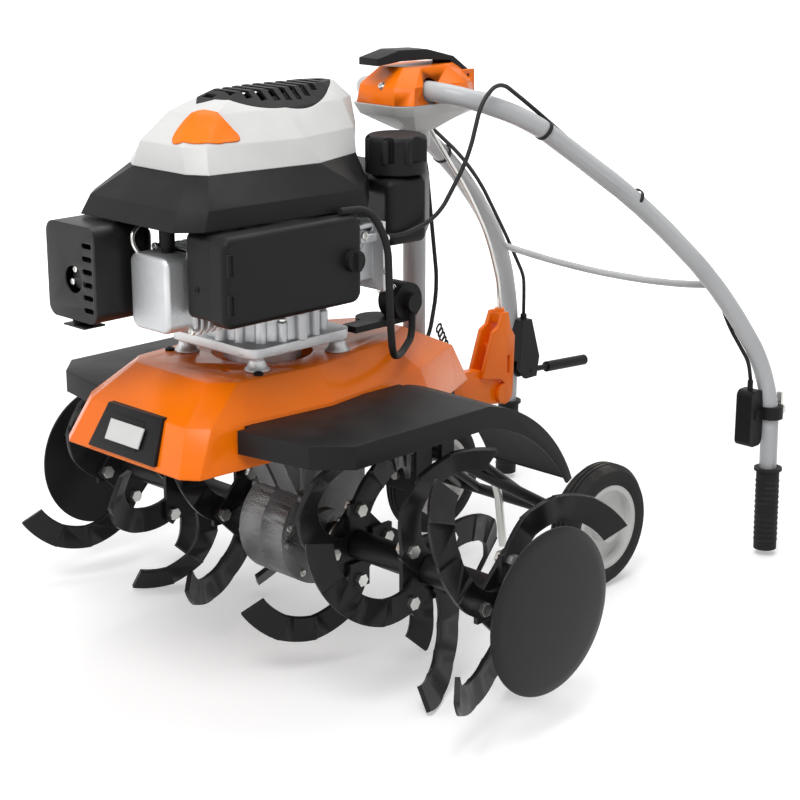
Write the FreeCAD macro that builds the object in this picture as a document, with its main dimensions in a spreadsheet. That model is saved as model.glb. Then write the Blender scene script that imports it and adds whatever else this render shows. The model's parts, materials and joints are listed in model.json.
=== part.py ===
import FreeCAD, Part
import math
import os
from FreeCAD import Placement, Rotation, Vector

# Petrol tiller with a folded handlebar.  Millimetres, +X forward, +Y the left side, +Z up.
# The layout is drawn with the tine axle over X = 0, and the last function moves the whole
# machine so that the middle of the bottom of its bounding box is the origin.

SIZES = {
    # tine rotor
    "relief_radius": 166.0, "tine_radius": 179.0, "knife_width": 33.0, "knife_thick": 6.0, "knife_bend": 14.0,
    "shaft_radius": 12.5, "shaft_half": 205.0, "hub_wall": 5.5, "running_gap": 0.05,
    "hub_start": 60.0, "rotor_half": 424.0, "plate_span": 84.0, "plate_thick": 6.0,
    "tine_set_inner": 101.0, "tine_set_middle": 223.0, "tine_set_outer": 350.0,
    "bolt_circle": 46.0, "bolt_radius": 5.0, "disc_radius": 100.0, "disc_dish": 10.0,
    "sheet_thick": 3.0, "pin_radius": 4.0, "pin_place": 78.0,
    # gearbox and belt drive
    "gearbox_half": 40.0, "gearbox_radius": 68.0, "casing_wall": 7.0, "worm_offset": 58.0,
    "worm_radius": 11.5, "worm_wheel_radius": 46.0, "worm_shaft_radius": 8.0,
    "bearing_radius": 23.5, "bearing_wide": 14.0, "body_gap": 0.3,
    "engine_pulley_radius": 30.0, "driven_pulley_radius": 42.0, "pulley_high": 16.0,
    "belt_thick": 7.0, "belt_level": 352.0,
    "idler_radius": 17.0,
    # chassis
    "chassis_level": 326.0, "chassis_thick": 6.0, "deck_top": 395.0, "deck_bottom": 304.0,
    "fender_top": 352.0, "fender_depth": 28.0, "fender_wall": 4.0, "fender_inner": 126.0,
    "fender_outer": 264.0, "panel_thick": 6.0,
    # engine
    "crank_place": 58.0, "crank_radius": 12.5, "post_spread": 65.0, "post_radius": 11.0,
    "flange_level": 412.0, "flange_thick": 12.0, "shroud_bottom": 580.0, "shroud_top": 634.0,
    "cowl_top": 722.0, "shell_wall": 3.0, "grille_long": 105.0, "grille_wide": 52.0, "cap_radius": 38.0,
    "cap_high": 46.0, "hose_radius": 4.5,
    # handlebar
    "tube_radius": 12.5, "tube_wall": 2.0, "grip_radius": 16.5, "grip_long": 122.0, "grip_flange": 20.0,
    "handle_gap": 0.1, "stem_radius": 15.0, "stem_place": 208.0, "console_level": 693.0,
    "console_place": 190.0, "crossbar_radius": 5.0, "cable_radius": 2.75, "cable_gap": 4.0,
    # rear end
    "pivot_place": 376.0, "pivot_level": 255.0, "bracket_thick": 8.0,
    "spur_radius": 6.0, "wheel_radius": 88.0, "wheel_wide": 44.0, "rim_radius": 60.0,
    "wheel_place": 410.0, "wheel_track": 158.0, "axle_pin_radius": 7.0, "frame_pivot_place": 228.0,
    "frame_pivot_level": 205.0, "strut_radius": 8.0,
}

os.makedirs("parts", exist_ok=True)
doc = FreeCAD.newDocument("Tiller")
sheet = doc.addObject("Spreadsheet::Sheet", "Sizes")
for line, (alias, value) in enumerate(SIZES.items(), start=1):
    sheet.set(f"A{line}", alias)
    sheet.set(f"B{line}", str(value))
    sheet.setAlias(f"B{line}", alias)
doc.recompute()

AXES = {"X": Vector(1, 0, 0), "Y": Vector(0, 1, 0), "Z": Vector(0, 0, 1)}
SIDES = {"left": 1, "right": -1}
NODES = []


def size(name):
    """The value of one driving dimension."""
    return SIZES[name]


def cell(name):
    """The expression that reads one driving dimension."""
    return f"Sizes.{name}"


# ---------------------------------------------------------------- document helpers
def primitive(kind, label, at=(0, 0, 0), axis="Z", turn=0, **sizes):
    """A Part primitive whose own axis lies along `axis`; text sizes are expressions."""
    thing = doc.addObject(f"Part::{kind}", label)
    for prop, value in sizes.items():
        if isinstance(value, str):
            thing.setExpression(prop, value)
        else:
            setattr(thing, prop, value)
    spin = Rotation(Vector(0, 0, 1), turn)
    thing.Placement = Placement(Vector(*at), Rotation(AXES["Z"], AXES[axis]).multiply(spin))
    return thing


def cylinder(label, radius, height, at, axis="Z"):
    return primitive("Cylinder", label, at, axis, Radius=radius, Height=height)


def box(label, length, width, height, at):
    return primitive("Box", label, at, Length=length, Width=width, Height=height)


def fuse(label, things):
    joined = doc.addObject("Part::MultiFuse", label)
    joined.Shapes = things
    return joined


def cut(label, base, tool):
    carved = doc.addObject("Part::Cut", label)
    carved.Base = base
    carved.Tool = tool
    return carved


def common(label, things):
    shared = doc.addObject("Part::MultiCommon", label)
    shared.Shapes = things
    return shared


def compound(label, things):
    """Separate solids that share one node."""
    bunch = doc.addObject("Part::Compound", label)
    bunch.Links = things
    return bunch


def shaped(label, shape):
    """A sub-part whose shape comes from Part's own functions."""
    thing = doc.addObject("Part::Feature", label)
    thing.Shape = shape
    return thing


def node(thing):
    """Mark a finished sub-part for export."""
    NODES.append(thing)
    return thing


# ---------------------------------------------------------------- shape helpers
def polygon_face(points):
    wire = Part.makePolygon([Vector(*p) for p in points] + [Vector(*points[0])])
    return Part.Face(wire)


def prism(points, lift):
    """A polygon pushed along the vector `lift`."""
    return polygon_face(points).extrude(Vector(*lift))


def loft(sections):
    """A faceted solid through level polygons with the same number of corners."""
    wires = [Part.makePolygon([Vector(*p) for p in s] + [Vector(*s[0])]) for s in sections]
    return Part.makeLoft(wires, True, True)


def mirrored_ring(half, level):
    """A level polygon from (x, y) corners of its left half, front corner first."""
    left = [(x, y, level) for x, y in half]
    right = [(x, -y, level) for x, y in reversed(half)]
    return left + right


def inset(half, wall):
    """The half outline moved inward by about one wall."""
    middle = sum(x for x, _ in half) / len(half)
    return [(x - math.copysign(wall, x - middle), y - wall) for x, y in half]


def faceted_room(levels, wall):
    """The space inside a faceted shell, reaching 1 mm below its open bottom."""
    sections = []
    for index, (level, half) in enumerate(levels):
        height = level - 1 if index == 0 else level
        if index == len(levels) - 1:
            height = level - wall
        sections.append(mirrored_ring(inset(half, wall), height))
    return loft(sections)


def faceted_shell(levels, wall):
    """An open-bottomed shell from (level, half outline) pairs, lowest first."""
    outer = loft([mirrored_ring(half, level) for level, half in levels])
    return outer.cut(faceted_room(levels, wall))


def rounded_box(x, y, z, radius, edges="all"):
    """A box between pairs of limits; `edges` picks all of its edges or those along one axis."""
    shape = Part.makeBox(x[1] - x[0], y[1] - y[0], z[1] - z[0], Vector(x[0], y[0], z[0]))
    picked = shape.Edges
    if edges != "all":
        picked = [e for e in shape.Edges if abs(e.tangentAt(0).dot(AXES[edges])) > 0.99]
    return shape.makeFillet(radius, picked)


def rod(start, end, radius):
    run = Vector(*end) - Vector(*start)
    return Part.makeCylinder(radius, run.Length, Vector(*start), run)


def bent_path(points):
    """Straight runs through the points, with tangent arcs at the bends."""
    corners = [Vector(*p) for p in points]
    pieces = []
    start = corners[0]
    for before, corner, after in zip(corners, corners[1:], corners[2:]):
        back = (before - corner).normalize()
        ahead = (after - corner).normalize()
        turn = math.pi - back.getAngle(ahead)
        reach = 0.45 * min((before - corner).Length, (after - corner).Length)
        bend = reach / math.tan(turn / 2)
        entry = corner + back * reach
        leave = corner + ahead * reach
        inward = (back + ahead).normalize()
        centre = corner + inward * (bend / math.cos(turn / 2))
        middle = centre - inward * bend
        pieces.append(Part.LineSegment(start, entry))
        pieces.append(Part.Arc(entry, middle, leave))
        start = leave
    pieces.append(Part.LineSegment(start, corners[-1]))
    return Part.Wire([piece.toShape() for piece in pieces])


def bent_tube(points, radius):
    """A round bar along a bent path."""
    path = bent_path(points)
    ahead = Vector(*points[1]) - Vector(*points[0])
    circle = Part.Wire(Part.makeCircle(radius, Vector(*points[0]), ahead))
    return path.makePipeShell([circle], True, False, 2)


def revolved(profile, place, axis="Z"):
    """A closed (radius, height) profile turned about an axis through `place`."""
    face = polygon_face([(r, 0, h) for r, h in profile])
    solid = face.revolve(Vector(0, 0, 0), Vector(0, 0, 1), 360)
    solid.Placement = Placement(Vector(*place), Rotation(AXES["Z"], AXES[axis]))
    return solid


def turned(shape, axis, angle, about=(0, 0, 0)):
    copy = shape.copy()
    copy.rotate(Vector(*about), AXES[axis], angle)
    return copy


# ---------------------------------------------------------------- one knife
def knife(side):
    """A sickle knife bolted at its root above the axle, its outer half curling sideways."""
    wide = size("knife_width") / 2
    thick = size("knife_thick")
    scale = size("tine_radius") / 173.2
    centre = (-80 * scale, 8 * scale)
    curve = 84 * scale
    folds = [math.radians(angle) for angle in (17.8, 56, 84, 112, 142)]
    lap = math.radians(3)

    def sector(start, stop):
        def spot(radius, angle):
            return Vector(centre[0] + radius * math.cos(angle), 0, centre[1] + radius * math.sin(angle))
        half = (start + stop) / 2
        outer = Part.Arc(spot(curve + wide, start), spot(curve + wide, half), spot(curve + wide, stop))
        inner = Part.Arc(spot(curve - wide, stop), spot(curve - wide, half), spot(curve - wide, start))
        lines = [Part.LineSegment(outer.EndPoint, inner.StartPoint),
                 Part.LineSegment(inner.EndPoint, outer.StartPoint)]
        wire = Part.Wire([outer.toShape(), lines[0].toShape(), inner.toShape(), lines[1].toShape()])
        return Part.Face(wire).extrude(Vector(0, thick, 0))

    middle = Vector(centre[0], 0, centre[1])
    blade = None
    for start, stop in reversed(list(zip(folds[1:], folds[2:]))):
        piece = sector(start - lap, stop)
        blade = piece.fuse(blade) if blade else piece
        across = Vector(math.cos(start), 0, math.sin(start))
        blade.rotate(middle, across, -size("knife_bend"))
    root = sector(folds[0], folds[1])
    heel_shape = Part.makeBox(2 * wide, thick, 34, Vector(-wide, 0, 22))
    hole = Part.makeCylinder(size("bolt_radius"), thick, Vector(0, 0, size("bolt_circle")), AXES["Y"])
    shape = heel_shape.fuse([root, blade]).cut(hole).removeSplitter()
    if side < 0:
        shape = shape.mirror(Vector(0, thick / 2, 0), Vector(0, 1, 0))
    return shape


KNIFE = {side: knife(side) for side in (1, -1)}
QUARTERS = (0, 90, 180, 270)
# Place, phase and the way the first knife bends; the four knives of a set bend by turns.
TINE_SETS = (("tine_set_inner", 0, -1), ("tine_set_middle", 45, -1), ("tine_set_outer", 0, 1))


def lowest(side, phase):
    """How far below the axle one tine set reaches."""
    return min(turned(KNIFE[side], "Y", -(phase + quarter)).BoundBox.ZMin for quarter in QUARTERS)


# The machine stands on its knives, so the axle height follows from their shape.
AXLE = -min(lowest(1, 0), lowest(1, 45))
AXLE_PLACE = (0, 0, AXLE)


# ---------------------------------------------------------------- tine rotor
def knife_sets():
    knives = []
    for name, side in SIDES.items():
        for place, phase, bend in TINE_SETS:
            foot = size(place) + size("plate_thick") / 2
            start = foot if side > 0 else -foot - size("knife_thick")
            for step, quarter in enumerate(QUARTERS):
                way = bend * side * (-1) ** step
                blade = turned(KNIFE[way], "Y", -(phase + quarter))
                blade.translate(Vector(0, start, AXLE))
                knives.append(shaped(f"knife_{name}_{int(size(place))}_{quarter}", blade))
    node(compound("knives", knives))


def bolt_spots(place, phase):
    for quarter in QUARTERS:
        angle = math.radians(phase + quarter + 90)
        reach = size("bolt_circle")
        yield reach * math.cos(angle), AXLE + reach * math.sin(angle), size(place)


def tine_rotor():
    shaft = cylinder("shaft_bar", cell("shaft_radius"), "2 * Sizes.shaft_half",
                     (0, -size("shaft_half"), AXLE), "Y")
    holes = []
    for side in SIDES.values():
        start = (0, side * size("pin_place"), AXLE - 40)
        holes.append(cylinder("shaft_pin_hole", cell("pin_radius"), 80, start))
    node(cut("tine_shaft", shaft, fuse("shaft_pin_holes", holes)))

    hubs = []
    outer_radius = size("shaft_radius") + size("hub_wall")
    long = size("rotor_half") - size("hub_start") - size("sheet_thick")
    for name, side in SIDES.items():
        pieces = []
        start = size("hub_start") if side > 0 else -size("hub_start") - long
        tube = cylinder(f"hub_tube_{name}", outer_radius, long, (0, start, AXLE), "Y")
        pieces.append(tube)
        for place, phase, _ in TINE_SETS:
            middle = side * size(place) - size("plate_thick") / 2
            span = size("plate_span")
            square = Part.makeBox(span, size("plate_thick"), span, Vector(-span / 2, middle, -span / 2))
            square.rotate(Vector(0, 0, 0), AXES["Y"], 45 + phase)
            square.translate(Vector(0, 0, AXLE))
            trim = Part.makeCylinder(size("bolt_circle") + 12, size("plate_thick"),
                                     Vector(0, middle, AXLE), AXES["Y"])
            plate = square.common(trim)
            for x, z, _ in bolt_spots(place, phase):
                plate = plate.cut(Part.makeCylinder(size("bolt_radius"), 30, Vector(x, middle - 12, z), AXES["Y"]))
            pieces.append(shaped(f"hub_plate_{name}_{int(size(place))}", plate))
        body = fuse(f"hub_body_{name}", pieces)
        bore = cylinder(f"hub_bore_{name}", "Sizes.shaft_radius + Sizes.running_gap", long,
                        (0, start, AXLE), "Y")
        pin = cylinder(f"hub_pin_hole_{name}", cell("pin_radius"), 80,
                       (0, side * size("pin_place"), AXLE - 40))
        hubs.append(cut(f"hub_{name}", body, fuse(f"hub_holes_{name}", [bore, pin])))
    node(compound("tine_hubs", hubs))

    knife_sets()

    discs = []
    dish = size("disc_dish")
    rim = size("disc_radius")
    sheet_thick = size("sheet_thick")
    for name, side in SIDES.items():
        profile = [(0, 0), (rim * 0.55, 0), (rim * 0.62, -dish), (rim - 3, -dish), (rim, -dish - 3),
                   (rim, -dish - 3 - sheet_thick), (rim - 4, -dish - sheet_thick),
                   (rim * 0.60, -dish - sheet_thick), (rim * 0.53, -sheet_thick), (0, -sheet_thick)]
        if side < 0:
            profile = [(r, -h) for r, h in profile]
        discs.append(shaped(f"disc_{name}", revolved(profile, (0, side * size("rotor_half"), AXLE), "Y")))
    node(compound("side_discs", discs))

    bolts = []
    for name, side in SIDES.items():
        for place, phase, _ in TINE_SETS:
            for index, (x, z, middle) in enumerate(bolt_spots(place, phase)):
                inner = middle - size("plate_thick") / 2
                outer = middle + size("plate_thick") / 2 + size("knife_thick")
                shank = Part.makeCylinder(size("bolt_radius"), outer - inner, Vector(x, inner, z), AXES["Y"])
                head = hexagon(8.5, 6).copy()
                head.Placement = Placement(Vector(x, outer, z), Rotation(AXES["Z"], AXES["Y"]))
                nut = hexagon(8.5, 7).copy()
                nut.Placement = Placement(Vector(x, inner - 7, z), Rotation(AXES["Z"], AXES["Y"]))
                bolt = shank.fuse([head, nut])
                if side < 0:
                    bolt = bolt.mirror(Vector(0, 0, 0), AXES["Y"])
                bolts.append(shaped(f"tine_bolt_{name}_{int(middle)}_{index}", bolt))
    node(compound("tine_bolts", bolts))

    pins = []
    for name, side in SIDES.items():
        y = side * size("pin_place")
        reach = outer_radius + 5
        shank = rod((0, y, AXLE - reach), (0, y, AXLE + reach), size("pin_radius"))
        head = rod((0, y, AXLE + reach), (0, y, AXLE + reach + 4), size("pin_radius") + 2.5)
        ring = Part.makeTorus(outer_radius + 5.5, 1.8, Vector(0, y, AXLE), AXES["Y"])
        pins.append(shaped(f"lock_pin_{name}", shank.fuse([head, ring])))
    node(compound("lock_pins", pins))


def hexagon(across, high):
    """A hexagon prism standing on the origin."""
    corners = []
    for step in range(6):
        angle = math.radians(60 * step)
        corners.append((across * math.cos(angle), across * math.sin(angle), 0))
    return prism(corners, (0, 0, high))


# ---------------------------------------------------------------- gearbox
def gearbox():
    radius = size("gearbox_radius")
    half = size("gearbox_half")
    wall = size("casing_wall")
    worm = -size("worm_offset")
    top = size("chassis_level")
    shell_front = 34
    neck_rear = worm - 26
    casing = {}
    for name, side in SIDES.items():
        barrel = Part.makeCylinder(radius, half, Vector(0, 0, AXLE), Vector(0, side, 0))
        start = 0 if side > 0 else -half
        neck = Part.makeBox(shell_front - neck_rear, half, top - AXLE - 8, Vector(neck_rear, start, AXLE))
        neck = neck.makeFillet(12, [e for e in neck.Edges if abs(e.tangentAt(0).z) > 0.99
                                    and abs(e.CenterOfMass.y) > 1])
        flange = Part.makeBox(196, half + 8, 10, Vector(-104, start - (8 if side < 0 else 0), top - 10))
        gusset = prism([(33, start + 4, AXLE + 50), (33, start + 4, top - 9), (90, start + 4, top - 9)],
                       (0, half - 8, 0))
        boss = Part.makeCylinder(32, half + 12, Vector(0, 0, AXLE), Vector(0, side, 0))
        block = barrel.fuse([neck, flange, gusset, boss]).removeSplitter()
        cavity = Part.makeCylinder(size("worm_wheel_radius") + 5, half - wall - 12,
                                   Vector(0, 0, AXLE), Vector(0, side, 0))
        worm_room = Part.makeCylinder(size("worm_radius") + 6, 96, Vector(worm, 0, AXLE - 50), AXES["Z"])
        worm_bore = Part.makeCylinder(size("worm_shaft_radius") + 0.1, 260, Vector(worm, 0, AXLE - 48), AXES["Z"])
        seat_top = Part.makeCylinder(18, 14, Vector(worm, 0, AXLE + 46), AXES["Z"])
        seat_low = Part.makeCylinder(18, 12, Vector(worm, 0, AXLE - 50), AXES["Z"])
        seat = Part.makeCylinder(size("bearing_radius"), size("bearing_wide"),
                                 Vector(0, side * (half - wall - 6), AXLE), Vector(0, side, 0))
        bore = Part.makeCylinder(size("shaft_radius") + 0.4, 80, Vector(0, 0, AXLE), Vector(0, side, 0))
        casing[name] = block.cut([cavity, worm_room, worm_bore, seat_top, seat_low, seat, bore])
        for x, z in ((34, 52), (-20, -60), (58, -4), (-52, 118), (20, 118)):
            start = Vector(x, side * (half - 4), AXLE + z)
            head = Part.makeCylinder(6, 10, start, Vector(0, side, 0))
            casing[name] = casing[name].fuse(head)
        node(shaped(f"gearbox_{name}", casing[name].removeSplitter()))

    thread = size("worm_radius")
    low = AXLE - 49
    pulley_top = size("belt_level") + size("pulley_high") / 2 + 6
    spindle = cylinder("worm_spindle", cell("worm_shaft_radius"), pulley_top - low, (worm, 0, low))
    screw = cylinder("worm_screw", cell("worm_radius"), 70, (worm, 0, AXLE - 35))
    collars = [shaped("worm_thread", Part.makeCompound([
        Part.makeTorus(thread - 1.5, 1.5, Vector(worm, 0, AXLE - 30 + 10 * step)) for step in range(7)]))]
    node(fuse("worm_shaft", [spindle, screw] + collars))

    wheel = Part.makeCylinder(size("worm_wheel_radius"), 22, Vector(0, -11, AXLE), AXES["Y"])
    bore = Part.makeCylinder(size("shaft_radius"), 22, Vector(0, -11, AXLE), AXES["Y"])
    throat = Part.makeTorus(size("worm_offset") + 1.0, size("worm_radius") + 1.0, Vector(0, 0, AXLE), AXES["Y"])
    wheel = wheel.cut([bore, throat])
    for step in range(36):
        notch = Part.makeBox(3, 24, 2.2, Vector(-1.5, -12, size("worm_wheel_radius") - 1.8))
        notch.rotate(Vector(0, 0, 0), AXES["Y"], 10 * step)
        notch.translate(Vector(0, 0, AXLE))
        wheel = wheel.cut(notch)
    node(shaped("worm_wheel", wheel))

    races = []
    for name, side in SIDES.items():
        start = Vector(0, side * (half - wall - 6), AXLE)
        ring = Part.makeCylinder(size("bearing_radius"), size("bearing_wide"), start, Vector(0, side, 0))
        hole = Part.makeCylinder(size("shaft_radius") + size("running_gap"), size("bearing_wide"),
                                 start, Vector(0, side, 0))
        races.append(shaped(f"axle_bearing_{name}", ring.cut(hole)))
    for name, level, deep in (("top", AXLE + 46, 14), ("low", AXLE - 50, 12)):
        ring = Part.makeCylinder(18, deep, Vector(worm, 0, level))
        hole = Part.makeCylinder(size("worm_shaft_radius") + size("running_gap"), deep, Vector(worm, 0, level))
        races.append(shaped(f"worm_bearing_{name}", ring.cut(hole)))
    node(compound("gearbox_bearings", races))


# ---------------------------------------------------------------- belt drive
def pulley(label, radius, place, bore):
    """A V-groove pulley around a vertical shaft."""
    half = size("pulley_high") / 2
    groove = size("belt_thick") + 1
    level = size("belt_level")
    profile = [(bore, -half), (radius + 2, -half), (radius + 2, -half + 1.5),
               (radius - groove, -2.5), (radius - groove, 2.5), (radius + 2, half - 1.5),
               (radius + 2, half), (bore, half)]
    return node(shaped(label, revolved(profile, (place, 0, level))))


def belt_drive():
    crank = size("crank_place")
    worm = -size("worm_offset")
    pulley("driven_pulley", size("driven_pulley_radius"), worm, size("worm_shaft_radius"))
    pulley("engine_pulley", size("engine_pulley_radius"), crank, size("crank_radius"))

    gap = size("body_gap")
    high = 4.0
    level = size("belt_level") - high / 2

    def loop(grow):
        front = size("engine_pulley_radius") + grow
        rear = size("driven_pulley_radius") + grow
        span = crank - worm
        tilt = math.acos((front - rear) / span)
        spots = []
        for place, radius in ((crank, front), (worm, rear)):
            spots.append((place + radius * math.cos(tilt), radius * math.sin(tilt), level))
        front_top, rear_top = [Vector(*s) for s in spots]
        front_low, rear_low = [Vector(v.x, -v.y, v.z) for v in (front_top, rear_top)]
        pieces = [Part.Arc(front_low, Vector(crank + front, 0, level), front_top),
                  Part.LineSegment(front_top, rear_top),
                  Part.Arc(rear_top, Vector(worm - rear, 0, level), rear_low),
                  Part.LineSegment(rear_low, front_low)]
        wire = Part.Wire([piece.toShape() for piece in pieces])
        return Part.Face(wire).extrude(Vector(0, 0, high))

    inner = -size("belt_thick") + gap
    node(shaped("drive_belt", loop(0).cut(loop(inner))))

    pivot = (-150, 64)
    tip = (-42, 62)
    thick = 4
    low = size("belt_level") - size("pulley_high") / 2 - thick - 1
    bar = prism([(pivot[0] - 10, pivot[1] - 9, low), (tip[0] + 8, tip[1] - 8, low),
                 (tip[0] + 8, tip[1] + 8, low), (pivot[0] - 10, pivot[1] + 9, low)], (0, 0, thick))
    eye = Part.makeCylinder(11, thick, Vector(*pivot, low))
    pin = Part.makeCylinder(4, 20, Vector(*tip, low))
    stub = Part.makeCylinder(4, 13, Vector(*pivot, low - 12.5))
    tail = prism([(-156, 71, low), (-178, 46, low), (-170, 37, low), (-144, 56, low)], (0, 0, thick))
    node(shaped("idler_arm", bar.fuse([eye, pin, stub, tail]).removeSplitter()))
    wheel = revolved([(4 + size("running_gap"), -6), (size("idler_radius"), -6), (size("idler_radius"), 6),
                      (4 + size("running_gap"), 6)], (*tip, size("belt_level")))
    node(shaped("idler_pulley", wheel))


# ---------------------------------------------------------------- chassis and covers
DECK_LEVELS = (
    ("deck_bottom", 0, ((276, 104), (262, 124), (60, 134), (-140, 104), (-262, 48))),
    ("deck_bottom", 52, ((252, 88), (234, 112), (60, 128), (-120, 96), (-235, 44))),
    ("deck_top", 0, ((200, 66), (176, 90), (60, 102), (-80, 76), (-150, 36))),
)


def post_spots():
    spread = size("post_spread")
    for dx in (spread, -spread):
        for y in (spread, -spread):
            yield size("crank_place") + dx, y


def chassis():
    level = size("chassis_level")
    thick = size("chassis_thick")
    levels = [(size(name) + rise, half) for name, rise, half in DECK_LEVELS]
    room = faceted_room(levels, size("sheet_thick"))
    outline = ((190, 140), (150, 140), (130, 88), (-110, 88), (-200, 46), (-224, 36))
    blank = prism(mirrored_ring(outline, level), (0, 0, thick)).common(room)
    plate = shaped("chassis_blank", blank)
    holes = [cylinder("crank_hole", 38, 30, (size("crank_place"), 0, level - 10)),
             cylinder("worm_hole", cell("worm_shaft_radius") + " + 3", 30, (-size("worm_offset"), 0, level - 10)),
             cylinder("arm_hole", "4 + Sizes.running_gap", 30, (-150, 64, level - 10))]
    node(cut("chassis_plate", plate, fuse("chassis_holes", holes)))

    shell = faceted_shell(levels, size("sheet_thick"))
    tools = [Part.makeCylinder(62, 60, Vector(size("crank_place"), 0, size("deck_top") - 30)),
             Part.makeCylinder(size("stem_radius") + 2, 200, Vector(-size("stem_place"), 0, level)),
             Part.makeCylinder(5, 60, Vector(150, 40, size("deck_top") - 30)),
             Part.makeCylinder(size("cable_radius") + 4, 70, Vector(-205, 30, 350)),
             Part.makeBox(80, 2 * size("bracket_thick") + 1, 40,
                          Vector(-284, -size("bracket_thick") - 0.5, size("deck_bottom") - 5)),
             Part.makeCylinder(size("relief_radius"), 400, Vector(0, -200, AXLE), AXES["Y"])]
    for x, y in post_spots():
        tools.append(Part.makeCylinder(size("post_radius") + 1, 60, Vector(x, y, size("deck_top") - 30)))
    node(shaped("deck_cover", shell.cut(tools)))

    raised = size("panel_thick")
    panel = loft([[(240, -64, 310), (272.9 + raised, -62, 310), (272.9 + raised, 62, 310), (240, 64, 310)],
                  [(220, -52, 360), (249 + raised, -50, 360), (249 + raised, 50, 360), (220, 52, 360)]])
    plate = Part.makeBox(1.5, 62, 36, Vector(-0.2, -37, -18))
    plate.rotate(Vector(0, 0, 0), AXES["Y"], -math.degrees(math.atan2(24, 50)))
    plate.translate(Vector(261 + raised, 0, 335))
    node(shaped("front_panel", panel.cut(faceted_solid()).fuse(plate)))

    for name, side in SIDES.items():
        node(shaped(f"fender_{name}", fender(side)))


def faceted_solid():
    """The whole block inside the deck cover's outer faces."""
    return loft([mirrored_ring(half, size(name) + rise) for name, rise, half in DECK_LEVELS])


def fender(side):
    top = size("fender_top")
    low = top - size("fender_depth")
    wall = size("fender_wall")
    inner = size("fender_inner")
    outer = size("fender_outer")

    def profile(drop, lower, start_y, wide):
        edge = [Vector(212, start_y, top - drop), Vector(-65, start_y, top - drop)]
        arc = Part.Arc(edge[1], Vector(-160 + drop * 0.6, start_y, top - 44 - drop), Vector(-222 + drop, start_y, 226))
        tail = Vector(-213, start_y, 221) if lower else Vector(-222 + drop, start_y, 190)
        if lower:
            back = Part.Arc(tail, Vector(-152, start_y, 287), Vector(-70, start_y, low))
            end = Vector(212, start_y, low)
            pieces = [Part.LineSegment(edge[0], edge[1]), arc, Part.LineSegment(arc.EndPoint, tail), back,
                      Part.LineSegment(Vector(-70, start_y, low), end), Part.LineSegment(end, edge[0])]
        else:
            end = Vector(212, start_y, 190)
            pieces = [Part.LineSegment(edge[0], edge[1]), arc, Part.LineSegment(arc.EndPoint, tail),
                      Part.LineSegment(tail, end), Part.LineSegment(end, edge[0])]
        face = Part.Face(Part.Wire([piece.toShape() for piece in pieces]))
        return face.extrude(Vector(0, wide, 0))

    def plan(shrink):
        points = [(208 - shrink, inner - 1 + shrink * 0, 150), (190 - shrink, 226 - shrink, 150),
                  (154 - shrink, outer - shrink, 150), (-240, outer - shrink, 150), (-240, inner - 1, 150)]
        return prism(points, (0, 0, 260))

    solid = profile(0, True, inner, outer - inner).common(plan(0))
    hollow = profile(wall, False, inner - 2, outer - inner + 4).common(plan(wall))
    shape = solid.cut(hollow)
    flange = Part.makeBox(250, 12, wall, Vector(-60, inner - 8, top - wall))
    shape = shape.fuse(flange.cut(Part.makeBox(250, 12, wall, Vector(-60, inner - 8, top - wall - wall))))
    shape = shape.cut(faceted_solid())
    if side < 0:
        shape = shape.mirror(Vector(0, 0, 0), AXES["Y"])
    return shape


# ---------------------------------------------------------------- engine
GRILLE_PLACE = 45


def lens(half_long, half_wide, level, high):
    """Upright block with a pointed oval plan, at the intake's place."""
    radius = (half_long ** 2 + half_wide ** 2) / (2 * half_wide)
    offset = radius - half_wide
    left = Part.makeCylinder(radius, high, Vector(GRILLE_PLACE, offset, level))
    right = Part.makeCylinder(radius, high, Vector(GRILLE_PLACE, -offset, level))
    return left.common(right)


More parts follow.
